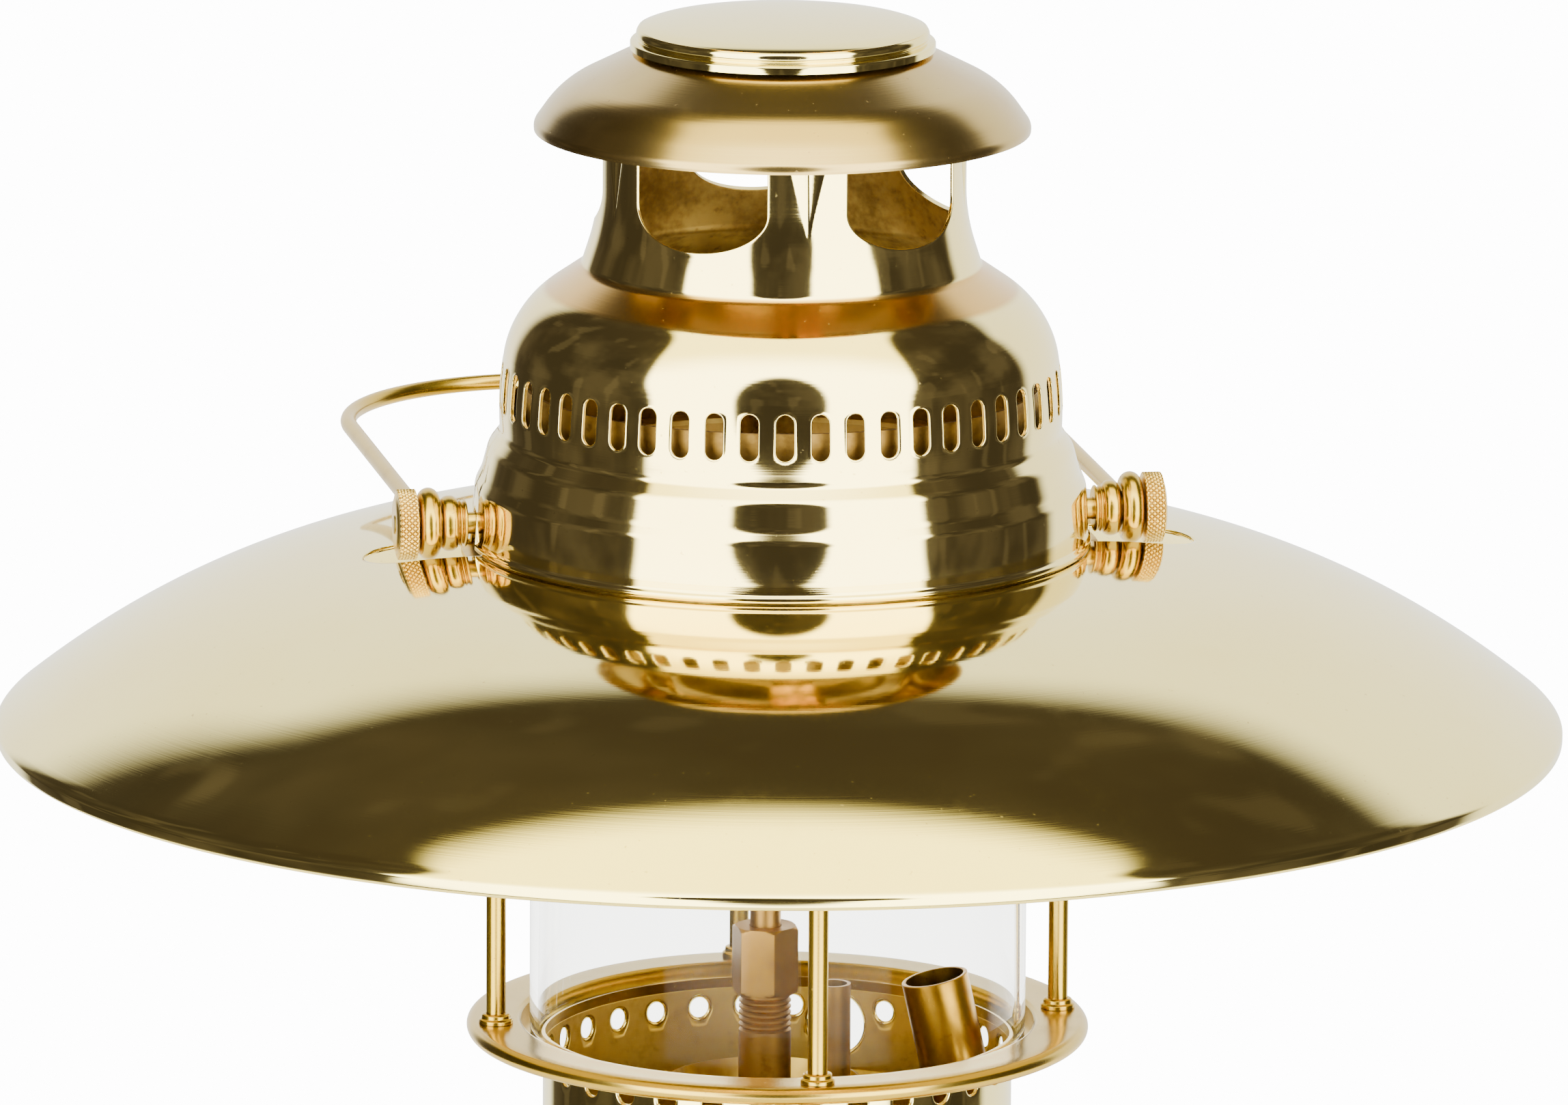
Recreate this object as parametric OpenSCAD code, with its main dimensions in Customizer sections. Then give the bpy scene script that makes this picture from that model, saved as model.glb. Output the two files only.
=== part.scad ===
// Pressure lantern with a wide reflector shade. Millimetres, +Z up, origin at the
// centre of the foot's underside. Studs and bail lie along X, the hand wheel faces -Y.

/* [Foot and tank] */
// Radius of the foot ring
foot_r = 61; // [54:0.5:66]
// Height of the foot ring
foot_h = 13.7; // [10:0.1:20]
// Largest radius of the tank
tank_r = 84; // [80:1:100]
// Height of the tank's flat top above the foot's underside
tank_top = 130; // [124:1:150]
// Radius of the tank's flat top
tank_top_r = 56; // [54:0.5:60]
// Wall of the tank
tank_wall = 1; // [0.8:0.1:2]

/* [Collar and gallery] */
// Outer radius of the perforated collar
collar_r = 47.3; // [45:0.1:49]
// Wall of the collar
collar_wall = 0.9; // [0.7:0.1:1.5]
// Height of the gallery ring's flat top above the tank's top
collar_rise = 60; // [56:1:80]
// Number of air holes round the collar
air_holes = 30; // [20:1:36]
// Diameter of one air hole
air_hole_d = 4.5; // [3:0.1:5]
// Drop from the gallery's top to the air holes
air_hole_drop = 10; // [9:0.5:14]
// Diameter of the lighting hole
light_hole_d = 12; // [9:0.5:14]
// Outer radius of the gallery ring
gallery_r = 62.7; // [62:0.1:70]

/* [Frame] */
// Diameter of a post
post_d = 4; // [3:0.1:5]
// Radius that the posts stand on
post_circle_r = 57.2; // [56.5:0.1:58]
// Height of the posts from the gallery to the upper ring
post_h = 91; // [80:1:110]
// Outer radius of the upper ring's band
band_r = 59.2; // [58.5:0.1:60]
// Diameter of a hood stud
stud_d = 4.4; // [4:0.1:4.8]
// Rise of the stud axis above the upper ring's underside
stud_rise = 12; // [11:0.5:14]
// Reach of a stud from the lantern's axis
stud_reach = 78; // [77.5:0.1:82]

/* [Glass] */
// Outer diameter of the glass cylinder
glass_d = 100; // [98:0.5:101]
// Wall of the glass
glass_wall = 2.2; // [1.5:0.1:3]
// Height of the glass cylinder
glass_h = 100; // [92:1:104]

/* [Reflector] */
// Largest diameter of the reflector shade
reflector_d = 314.6; // [280:0.1:380]
// Drop of the shade from its centre to where its rim turns down
reflector_drop = 35.4; // [28:0.1:48]
// Depth of the turned rim
reflector_rim = 3.9; // [2:0.1:8]
// Thickness of the shade's sheet
reflector_wall = 0.8; // [0.6:0.1:1.2]
// Width of the notch that lets the shade past a nut
notch_w = 16.5; // [16:0.1:20]
// Reach of the notch's round end from the axis
notch_reach = 84; // [83:0.5:90]

/* [Hood and cap] */
// Radius of the hood's rim
hood_r = 62.3; // [62:0.1:63]
// Radius of the hood's neck
neck_r = 36.8; // [34:0.1:38]
// Height of the hood from its rim to the top of its neck
hood_h = 94.3; // [90:0.1:100]
// Thickness of the hood's sheet
hood_wall = 0.8; // [0.6:0.1:1]
// Number of slots round the hood
slot_count = 50; // [30:1:56]
// Width of one slot
slot_w = 3.5; // [2:0.1:4]
// Length of one slot
slot_h = 9.2; // [6:0.1:11]
// Number of vents round the neck
vent_count = 5; // [3:1:6]
// Width of one vent
vent_w = 30; // [20:0.5:31]
// Radius of the cap
cap_r = 49.7; // [46:0.1:60]
// Radius of the disc on the cap
disc_r = 29.3; // [20:0.1:30]

/* [Bail] */
// Diameter of the bail wire
bail_wire = 3.3; // [2.5:0.1:3.5]
// Distance from the axis to an arm of the bail
bail_half_w = 71; // [70.5:0.1:73]
// Length of the bail from its hinge to its bow
bail_reach = 142; // [130:1:150]
// Radius of the bail's two corners
bail_corner = 42; // [20:1:60]
// Degrees that the bent bail leans to its left
bail_lean = 2.6; // [0:0.1:4]
// Diameter of the ring that ends each arm
eye_wire = 4.3; // [3.5:0.1:4.6]

/* [Knurled nuts] */
// Outer diameter of a knurled nut
nut_d = 14.2; // [12:0.1:15.5]
// Thickness of a knurled nut
nut_h = 4; // [3:0.1:4.5]
// Ridges round a knurled nut
nut_ridges = 36; // [20:1:48]

/* [Burner] */
// Distance of the vaporiser behind the lantern's axis
vaporiser_y = 18; // [17:0.5:22]
// Diameter of the vaporiser tube
vaporiser_d = 6.3; // [5:0.1:6.6]
// Width across the flats of the union nut
union_af = 12; // [10:0.1:14]
// Diameter of the threaded bush under the union nut
bush_d = 10.6; // [9:0.1:12]
// Radius of the spirit cup
cup_r = 19; // [15:0.5:22]
// Diameter of the mixing tube
mixing_d = 11; // [9:0.1:12]
// Largest radius of the mantle
mantle_r = 11.5; // [8:0.5:12]
// Length of the mantle
mantle_h = 40; // [30:1:44]
// Diameter of the preheater's flame tube
flame_d = 13.5; // [11:0.1:14]

/* [Controls] */
// Radius of the hand wheel
wheel_r = 15; // [12:0.5:20]
// Diameter of the control spindle
spindle_d = 4; // [3:0.1:5]
// Outer diameter of the pump barrel
pump_d = 19; // [16:0.5:22]
// Length of the pump barrel inside the tank
pump_len = 82; // [70:1:86]
// Stroke of the pump
pump_stroke = 55; // [40:1:58]
// Diameter of the pump rod
pump_rod_d = 5; // [4:0.1:6]
// Radius of the pump knob
knob_r = 11; // [8:0.5:14]
// Diameter of the filler neck
filler_d = 28; // [22:0.5:30]
// Diameter of the gauge
gauge_d = 33; // [28:0.5:36]
// Running clearance between a shaft and its bore, on the radius
run_gap = 0.08; // [0.03:0.01:0.1]
// Clearance between pieces that only stand beside each other
gap = 0.3; // [0.2:0.05:0.5]

/* [Hidden] */
$fn = 96;

// Levels
gallery_top = tank_top + collar_rise;
seat_top = gallery_top - 3;
glass_bottom = seat_top + gap / 3;
upper_z = gallery_top + post_h;
stud_z = upper_z + stud_rise;
band_top = upper_z + 17;
shade_top = upper_z + 7;
hood_z = shade_top + gap;
deck_z = band_top + 5;

// Depths along a stud, from the hood outwards
collar_start = hood_r + 1.1;
eye_major = 5.15;
spigot_r = eye_major - eye_wire / 2 - run_gap;
nut_x = bail_half_w + eye_wire / 2 + gap;

// Colours
polished = [0.87, 0.70, 0.34];
satin = [0.72, 0.53, 0.24];
bronze = [0.55, 0.39, 0.19];

// ---------------------------------------------------------------- helpers
function unit(v) = v / norm(v);
function quad_at(a, b, c, t) = (1 - t) * (1 - t) * a + 2 * t * (1 - t) * b + t * t * c;
function bend(a, b, c, steps) = [for (k = [0:steps]) quad_at(a, b, c, k / steps)];
// A path of [r, z, d]: each corner is rounded over the length d on both sides of it
function rounded(path, steps) = [for (i = [0:len(path) - 1])
    let (p = [path[i][0], path[i][1]], d = path[i][2])
    each d == 0 ? [p] : bend(
        p - d * unit(p - [path[i - 1][0], path[i - 1][1]]), p,
        p + d * unit([path[i + 1][0], path[i + 1][1]] - p), steps)];
function lift(path, z) = [for (p = path) [p[0], p[1] + z]];
function side_of(path, i) = let (a = path[max(i - 1, 0)], b = path[min(i + 1, len(path) - 1)])
    unit([b[1] - a[1], a[0] - b[0]]);
function inner(path, wall) = [for (i = [0:len(path) - 1])
    let (q = path[i] + wall * side_of(path, i)) [max(q[0], 0), q[1]]];
function backwards(path) = [for (i = [len(path) - 1:-1:0]) path[i]];
module skin(path, wall) { rotate_extrude() polygon(concat(path, backwards(inner(path, wall)))); }
module ring(r_in, r_out, z0, z1) {
    rotate_extrude() translate([r_in, z0]) square([r_out - r_in, z1 - z0]);
}
module rod(d, z0, z1) { translate([0, 0, z0]) cylinder(d = d, h = z1 - z0); }
module round_about(count, first = 0) {
    for (k = [0:count - 1]) rotate([0, 0, first + k * 360 / count]) children();
}
// Both ends of the stud axis: the child is drawn along +X
module both_sides() { for (a = [0, 180]) rotate([0, 0, a]) children(); }
module along_x(x, z) { translate([x, 0, z]) rotate([0, 90, 0]) children(); }
module knurled(d, h, ridges, depth) {
    linear_extrude(h) union() {
        circle(d = d - 2 * depth);
        for (k = [0:ridges - 1]) rotate(k * 360 / ridges) translate([d / 2 - depth, 0])
            circle(r = depth, $fn = 14);
    }
}

// ---------------------------------------------------------------- foot and tank
foot_wall = 1.2;
foot_lip = 3.4;
module foot_ring() {
    color(polished) rotate_extrude() polygon([[foot_r, 0], [foot_r + foot_lip, 0],
        [foot_r + foot_lip, foot_wall], [foot_r + 2 * foot_wall, 2 * foot_wall],
        [foot_r + foot_wall, 4 * foot_wall], [foot_r + foot_wall, foot_h], [foot_r, foot_h]]);
}

tank_floor = foot_h + gap;
shoulder_z = tank_top - 34;
tank_path = rounded([[0, tank_floor, 0], [tank_r - 18, tank_floor, 4],
    [tank_r, tank_floor + 20, 18], [tank_r, shoulder_z, 26], [tank_top_r, tank_top, 4],
    [0, tank_top, 0]], 8);
// Where the pump and the filler stand: half way up the shoulder, square to it
fit_r = (tank_r + tank_top_r) / 2;
fit_z = (shoulder_z + tank_top) / 2 - 0.6;
fit_tilt = 90 - atan((tank_r - tank_top_r) / (tank_top - shoulder_z));
pump_turn = -40;
filler_turn = -140;
module at_shoulder(turn) {
    rotate([0, 0, turn]) translate([fit_r, 0, fit_z]) rotate([0, fit_tilt, 0]) children();
}
barrel_out = 9;
pickup_d = 5;
riser_d = 8;
riser_x = 58.5;
module tank() {
    color(polished) difference() {
        skin(tank_path, -tank_wall);
        at_shoulder(pump_turn) rod(pump_d + 2 * gap, -20, 20);
        at_shoulder(filler_turn) rod(filler_d + 2 * gap, -20, 20);
        translate([0, vaporiser_y, 0]) rod(pickup_d + 2 * gap, tank_top - 10, tank_top + 5);
        translate([riser_x, 0, 0]) rod(riser_d + 2 * gap, tank_top - 30, tank_top + 5);
    }
}
strainer_d = 9;
strainer_h = 12;
strainer_z = tank_floor + tank_wall + 2;
module pickup_tube() {
    color(satin) translate([0, vaporiser_y, 0]) rod(pickup_d, strainer_z + strainer_h,
        tank_top + gap);
}
module pickup_strainer() {
    color(satin) translate([0, vaporiser_y, 0]) difference() {
        rod(strainer_d, strainer_z, strainer_z + strainer_h);
        rod(strainer_d - 2.4, strainer_z - 1, strainer_z + strainer_h - 3);
    }
}

// ---------------------------------------------------------------- collar and gallery
collar_z = tank_top + gap;
collar_top = seat_top - 1;
flange_w = 3.6;
spindle_z = tank_top + 22;
spindle_hole_d = 9;
preheat_z = tank_top + 30;
preheat_hole_d = 9.4;
light_turn = 67;
module collar() {
    color(polished) difference() {
        union() {
            ring(collar_r - collar_wall, collar_r, collar_z, collar_top);
            ring(collar_r - collar_wall, collar_r + flange_w, collar_z, collar_z + 1.2);
        }
        round_about(air_holes, 180 / air_holes) along_x(collar_r - 5, gallery_top - air_hole_drop)
            cylinder(d = air_hole_d, h = 10);
        rotate([0, 0, light_turn]) along_x(collar_r - 5, gallery_top - air_hole_drop - 2)
            cylinder(d = light_hole_d, h = 10);
        rotate([0, 0, -90]) along_x(collar_r - 5, spindle_z)
            cylinder(d = spindle_hole_d, h = 10);
        along_x(collar_r - 5, preheat_z) cylinder(d = preheat_hole_d, h = 10);
    }
}

gallery_inner = glass_d / 2 + 1.7;
lip_r = 1.7;
plate_t = 0.9;
module gallery_ring() {
    edge = gallery_r - lip_r;
    color(polished) rotate_extrude() polygon(concat(
        [[gallery_inner, gallery_top]],
        [for (a = [90:-15:-90]) [edge + lip_r * cos(a), gallery_top - lip_r + lip_r * sin(a)]],
        [[edge, gallery_top - 2 * lip_r + plate_t],
        [edge - 0.4, gallery_top - plate_t - 0.6], [gallery_inner + plate_t, gallery_top - plate_t],
        [gallery_inner + plate_t, collar_top], [collar_r - collar_wall, collar_top],
        [collar_r - collar_wall, seat_top + 1], [collar_r - 0.2, seat_top + 1],
        [collar_r - 0.2, seat_top], [gallery_inner, seat_top]]));
}

// ---------------------------------------------------------------- frame
flange_d = 6.9;
module at_posts() { round_about(4) translate([post_circle_r, 0, 0]) children(); }
module posts() {
    color(polished) at_posts() rod(post_d, gallery_top + gap / 3, upper_z - gap / 3);
}
module post_flanges() {
    color(polished) at_posts() translate([0, 0, gallery_top + gap / 3]) difference() {
        union() {
            cylinder(d = flange_d, h = 0.9);
            cylinder(d = flange_d - 1.2, h = 1.9);
        }
        translate([0, 0, -1]) cylinder(d = post_d + run_gap, h = 4);
    }
}

band_t = 1;
upper_inner = glass_d / 2 + 2;
flange_r = hood_r + 1.7;
module upper_ring() {
    shelf = shade_top - reflector_wall - gap / 3;
    color(satin) difference() {
        union() {
            ring(upper_inner, band_r + 1, upper_z, upper_z + 1.2);
            ring(band_r - band_t, band_r, upper_z, band_top);
            ring(band_r - band_t, flange_r, shelf - 1, shelf);
        }
        both_sides() along_x(band_r - 8, stud_z) cylinder(d = stud_d + 0.2, h = 12);
    }
}
module studs() {
    color(satin) both_sides() {
        along_x(band_r - band_t, stud_z) cylinder(d = stud_d, h = stud_reach - band_r + band_t);
        along_x(band_r - band_t - 2.8, stud_z) cylinder(d = stud_d + 3, h = 2.5);
    }
}
// The turned collar on each stud: rings at the hood's side, then the bail's spigot
ferrule_d = 11.2;
ferrule_x = bail_half_w - eye_wire / 2 - gap;
module stud_collars() {
    bore = stud_d / 2 + 0.1;
    ferrule_r = ferrule_d / 2;
    color(polished) both_sides() along_x(0, stud_z) rotate_extrude() polygon([
        [bore, collar_start], [4.4, collar_start], [4.8, collar_start + 0.4],
        [4.4, collar_start + 0.8], [4.1, collar_start + 0.9], [4.9, collar_start + 1.3],
        [4.2, collar_start + 1.7], [ferrule_r - 0.7, collar_start + 1.9],
        [ferrule_r, collar_start + 2.6], [ferrule_r, ferrule_x - 0.7],
        [ferrule_r - 0.7, ferrule_x], [spigot_r, ferrule_x], [spigot_r, nut_x - gap / 2],
        [bore, nut_x - gap / 2]]);
}
module knurled_nut() {
    color(satin) along_x(nut_x, stud_z) difference() {
        union() {
            knurled(nut_d, nut_h, nut_ridges, 0.35);
            cylinder(d = nut_d - 2.6, h = nut_h + 0.3);
        }
        translate([0, 0, -1]) cylinder(d = stud_d + 2 * run_gap, h = nut_h + 3);
    }
}
module knurled_nut_right() { knurled_nut(); }
module knurled_nut_left() { rotate([0, 0, 180]) knurled_nut(); }

// ---------------------------------------------------------------- bail, folded back
// A straight run of the wire along Y from y to where the corner starts
module bail_arm(x, y) {
    translate([x, y, 0]) rotate([-90, 0, 0])
        cylinder(d = bail_wire, h = bail_reach - bail_corner - y);
}
module bail_bend() {
    rotate_extrude(angle = 90) translate([bail_corner, 0]) circle(d = bail_wire, $fn = 32);
}
module bail() {
    bow_y = bail_reach - bail_corner;
    bow_x = bail_half_w - bail_corner;
    shift = bail_half_w * sin(bail_lean);
    color(polished) translate([0, 0, stud_z]) {
        for (s = [-1, 1]) translate([s * bail_half_w, 0, 0]) rotate([0, 90, 0])
            rotate_extrude() translate([eye_major, 0]) circle(d = eye_wire, $fn = 32);
        rotate([0, 0, bail_lean]) {
            for (s = [-1, 1]) {
                bail_arm(s * bail_half_w, eye_major - s * shift);
                translate([s * bow_x, bow_y, 0]) rotate([0, 0, s > 0 ? 0 : 90]) bail_bend();
            }
            translate([-bow_x, bail_reach, 0]) rotate([0, 90, 0])
                cylinder(d = bail_wire, h = 2 * bow_x);
        }
    }
}

// ---------------------------------------------------------------- reflector shade
shade_hole = band_r + 1.6;
shade_r = reflector_d / 2;
shade_turn = [shade_r - 1.3, shade_top - reflector_drop];
shade_bend = shade_hole + 0.535 * (shade_r - shade_hole);
rim_low = shade_turn[1] - reflector_rim;
module reflector() {
    dome = bend([shade_hole, shade_top], [shade_bend, shade_top], shade_turn, 20);
    rim = [[shade_r - 0.2, shade_turn[1] - 1.5], [shade_r, shade_turn[1] - 2.4],
        [shade_r, rim_low + 0.9], [shade_r - 0.5, rim_low]];
    color(polished) difference() {
        skin(concat(dome, rim), reflector_wall);
        both_sides() hull() {
            translate([notch_reach - notch_w / 2, 0, shade_top - 20])
                cylinder(d = notch_w, h = 40, $fn = 32);
            translate([shade_hole - 10, 0, shade_top - 20])
                cylinder(d = notch_w, h = 40, $fn = 32);
        }
    }
}

// ---------------------------------------------------------------- hood and cap
// Heights on the hood are taken from its rim
hood_top_z = hood_h;
foot_of_neck = 56.2;
hood_path = rounded([[neck_r, hood_top_z, 0], [neck_r, 66.4, 6],
    [neck_r + 3.3, foot_of_neck, 1.2], [hood_r - 11.7, 49, 5], [hood_r - 7.4, 41.4, 3.5],
    [hood_r - 6, 22.4, 0.9], [hood_r - 3.7, 19.4, 0.9], [hood_r - 2.3, 14.2, 0.7],
    [hood_r - 1.1, 11.8, 0.7], [hood_r - 0.6, 1.6, 0.4], [hood_r, 1, 0.3], [hood_r, 0, 0]], 6);
slot_z = 32;
vent_low = 64.7;
vent_round = 8;
stud_notch = stud_d + 1.2;
module slot_cut() {
    along_x(hood_r - 16, hood_z + slot_z) rotate([0, 0, 90]) linear_extrude(20) union() {
        square([slot_w, slot_h - slot_w], center = true);
        for (s = [-1, 1]) translate([0, s * (slot_h - slot_w) / 2]) circle(d = slot_w, $fn = 24);
    }
}
// A vent is a wide U: an elliptic bottom under straight sides
module vent_cut() {
    translate([neck_r - 14, 0, hood_z]) rotate([90, 0, 90]) linear_extrude(20) polygon(concat(
        [for (a = [180:15:360]) [vent_w / 2 * cos(a), vent_low + vent_round * (1 + sin(a))]],
        [[vent_w / 2, hood_top_z - 2.6], [-vent_w / 2, hood_top_z - 2.6]]));
}
module hood() {
    color(polished) difference() {
        skin(lift(hood_path, hood_z), -hood_wall);
        round_about(slot_count, 180 / slot_count) slot_cut();
        round_about(vent_count, 90) vent_cut();
        both_sides() {
            along_x(hood_r - 10, stud_z) cylinder(d = stud_notch, h = 14);
            translate([hood_r - 10, -stud_notch / 2, hood_z - 2])
                cube([14, stud_notch, stud_z - hood_z + 2]);
        }
    }
}
cap_z = hood_z + hood_top_z + 0.4;
cap_path = rounded([[0, 5.2, 0], [disc_r - 0.3, 5.2, 3], [cap_r - 5.1, -2.7, 5],
    [cap_r, -9.9, 0.9], [cap_r - 0.1, -11.2, 0]], 8);
module cap() { color(polished) skin(lift(cap_path, cap_z), hood_wall); }
module cap_disc() {
    base = cap_z + 5.2 + gap / 3;
    color(polished) rotate_extrude() polygon([[0, base], [disc_r + 0.9, base],
        [disc_r + 1.2, base + 0.4], [disc_r + 1.2, base + 1.2], [disc_r + 0.5, base + 1.6],
        [disc_r - 0.3, base + 1.9], [disc_r, base + 2.6], [disc_r, base + 3.4],
        [disc_r - 0.7, base + 4.3], [disc_r - 2.3, base + 4.9], [disc_r - 9, base + 5.9],
        [disc_r - 19, base + 6.6], [0, base + 6.8]]);
}
casing_wall = 0.8;
module inner_casing() {
    r = glass_d / 2 + 1;
    color(satin) {
        union() {
            ring(r, r + casing_wall, upper_z + 3, hood_z + slot_z);
            ring(r, band_r - 0.4, band_top + gap / 3, band_top + gap / 3 + casing_wall);
        }
    }
}
deck_wall = 1;
deck_r = glass_d / 2 + 1 - gap / 3;
deck_rim = 6;
deck_hub = 50;
deck_arm = 9;
module heat_deck() {
    color(satin) difference() {
        union() {
            ring(deck_r - deck_rim, deck_r, deck_z, deck_z + deck_wall);
            rod(deck_hub, deck_z, deck_z + deck_wall);
            for (a = [0, 90]) rotate([0, 0, a]) translate([-deck_r + 2, -deck_arm / 2, deck_z])
                cube([2 * deck_r - 4, deck_arm, deck_wall]);
        }
        rod(mixing_d + 0.4, deck_z - 1, deck_z + 3);
        at_vaporiser() rod(mixing_d + 0.4, deck_z - 1, deck_z + 3);
    }
}
module glass_cylinder() {
    color([0.9, 0.95, 0.95, 0.35])
        ring(glass_d / 2 - glass_wall, glass_d / 2, glass_bottom, glass_bottom + glass_h);
}

// ---------------------------------------------------------------- burner
cup_z = tank_top + 36;
cup_h = 8;
bush_top = gallery_top + 1.5;
union_h = 13.5;
tube_top = upper_z + 7;
jet_h = 6;
body_d = 14;
module at_vaporiser() { translate([0, vaporiser_y, 0]) children(); }
body_z = tank_top + 2 * gap;
bore_d = 3.2;
chamber_d = 10;
boss_d = 11;
boss_end = -8;
module valve_body() {
    color(bronze) at_vaporiser() difference() {
        union() {
            rod(body_d, body_z, cup_z - gap / 3);
            rod(18, body_z, body_z + 4);
            translate([0, 0, spindle_z]) rotate([90, 0, 0])
                cylinder(d = boss_d, h = vaporiser_y - boss_end);
        }
        rod(chamber_d, spindle_z - 4, spindle_z + 6);
        rod(bore_d, spindle_z, cup_z + 1);
        translate([0, 0, spindle_z]) rotate([90, 0, 0])
            cylinder(d = spindle_d + 2 * run_gap, h = 40);
    }
}
module spirit_cup() {
    wall = 0.8;
    path = rounded([[cup_r, cup_h, 0], [cup_r - 2, wall, 3], [bush_d / 2 + gap, wall, 0]], 6);
    color(polished) at_vaporiser() skin(lift(path, cup_z), -wall);
}
module vaporiser_bush() {
    bottom = cup_z;
    color(bronze) at_vaporiser() difference() {
        rotate_extrude() polygon(concat([[0, bottom], [bush_d / 2, bottom],
            [bush_d / 2, bush_top - 5]],
            [for (k = [0:2]) each [[bush_d / 2 - 0.5, bush_top - 4.6 + k * 1.5],
                [bush_d / 2, bush_top - 4.1 + k * 1.5], [bush_d / 2, bush_top - 3.6 + k * 1.5]]],
            [[bush_d / 2, bush_top - gap / 3], [0, bush_top - gap / 3]]));
        rod(bore_d, bottom - 1, bush_top + 1);
    }
}
module union_nut() {
    color(bronze) at_vaporiser() difference() {
        intersection() {
            translate([0, 0, bush_top]) rotate([0, 0, 8])
                cylinder(d = union_af / cos(30), h = union_h, $fn = 6);
            translate([0, 0, bush_top]) rotate_extrude() polygon([[0, 0], [union_af / 2, 0],
                [union_af / 2 + 1, 0.7], [union_af / 2 + 1, union_h - 0.9],
                [union_af / 2 - 0.6, union_h], [0, union_h]]);
        }
        rod(vaporiser_d + 0.2, bush_top + 1.5, bush_top + union_h + 1);
        rod(bore_d, bush_top - 1, bush_top + 3);
    }
}
module vaporiser_tube() {
    color(bronze) at_vaporiser() difference() {
        rod(vaporiser_d, bush_top + 1.6, tube_top);
        rod(bore_d, bush_top, tube_top + 1);
    }
}
module jet() {
    color(satin) at_vaporiser() difference() {
        union() {
            translate([0, 0, tube_top + gap / 3]) cylinder(d = 7.5, h = 3, $fn = 6);
            translate([0, 0, tube_top + 3]) cylinder(d1 = 5, d2 = 2.6, h = jet_h - 3);
        }
        rod(1.8, tube_top - 1, tube_top + jet_h + 1);
    }
}
needle_d = 1.2;
lift_off = 2.4;
eccentric_r = 2;
needle_foot = spindle_z + eccentric_r - lift_off / 2 + 0.25;
module cleaning_needle() {
    color("silver") at_vaporiser() {
        rod(needle_d, needle_foot + 1, tube_top + jet_h - 1);
        rod(6, needle_foot, needle_foot + 1);
    }
}
module spirit_filler_tube() {
    outer = 7.2;
    color(satin) translate([13.6, vaporiser_y - 2, cup_z + 2.6]) difference() {
        cylinder(d = outer, h = 24.7);
        translate([0, 0, -1]) cylinder(d = outer - 1.4, h = 30);
        translate([0, 0, 24.7]) rotate([0, -60, 0]) translate([0, -10, 0]) cube([20, 20, 30]);
        translate([-20, -20, 30]) cube([40, 40, 10]);
    }
}

module gas_chamber() {
    low = upper_z - 1;
    color(satin) difference() {
        union() {
            rod(25, low, low + 9);
            rod(mixing_d + 4, low + 9, low + 12);
        }
        rod(21, low - 1, low + 7.6);
        rod(mixing_d + 0.2, low + 7, low + 13);
    }
}
chamber_low = upper_z - 1;
module ceramic_nozzle() {
    color([0.93, 0.9, 0.83]) difference() {
        rotate_extrude() polygon([[4, chamber_low - 12], [7.4, chamber_low - 12],
            [8.2, chamber_low - 11], [8.2, chamber_low - 8.5], [7, chamber_low - 7.5],
            [7, chamber_low + 1], [9.6, chamber_low + 2], [9.6, chamber_low + 5],
            [4, chamber_low + 5]]);
        round_about(6) translate([6, 0, chamber_low - 13]) cylinder(d = 1.2, h = 3);
    }
}
mantle_top = chamber_low - 7.2;
module mantle() {
    path = [for (t = [0:0.0625:1]) [
        t == 1 ? 0 : 7.3 + (mantle_r - 7.3) * sin(180 * pow(t, 0.8)) - 7.3 * pow(t, 6),
        mantle_top - mantle_h * t]];
    throat = [[7.95, mantle_top - 0.1], [8.9, mantle_top - 1], [8.9, mantle_top - 4.6]];
    body = [for (p = path) if (p[1] < mantle_top - 5.2) p];
    color([0.95, 0.95, 0.92]) rotate_extrude() polygon(concat(
        [[7.35, mantle_top - 0.1]], throat, body, backwards([for (p = body) if (p[0] > 1)
        [p[0] - 0.8, p[1] + (p[1] < mantle_top - 0.8 * mantle_h ? 0.8 : 0)]]),
        [[8.3, mantle_top - 4.4], [8.3, mantle_top - 1.25], [7.35, mantle_top - 0.35]]));
}
module mixing_tube() {
    low = chamber_low + 9.2;
    arch = deck_z + 14;
    reach = vaporiser_y / 2;
    mouth = tube_top + jet_h + 1.5;
    color(satin) difference() {
        union() {
            rod(mixing_d, low, arch);
            at_vaporiser() rod(mixing_d, mouth, arch);
            translate([0, reach, arch]) rotate([0, 90, 0]) rotate([0, 0, 90])
                rotate_extrude(angle = 180) translate([reach, 0])
                circle(d = mixing_d, $fn = 48);
        }
        rod(mixing_d - 2, low - 1, arch);
        at_vaporiser() rod(mixing_d - 2, mouth - 1, arch);
        translate([0, reach, arch]) rotate([0, 90, 0]) rotate([0, 0, 90])
            rotate_extrude(angle = 180) translate([reach, 0])
            circle(d = mixing_d - 2, $fn = 48);
    }
}

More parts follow.
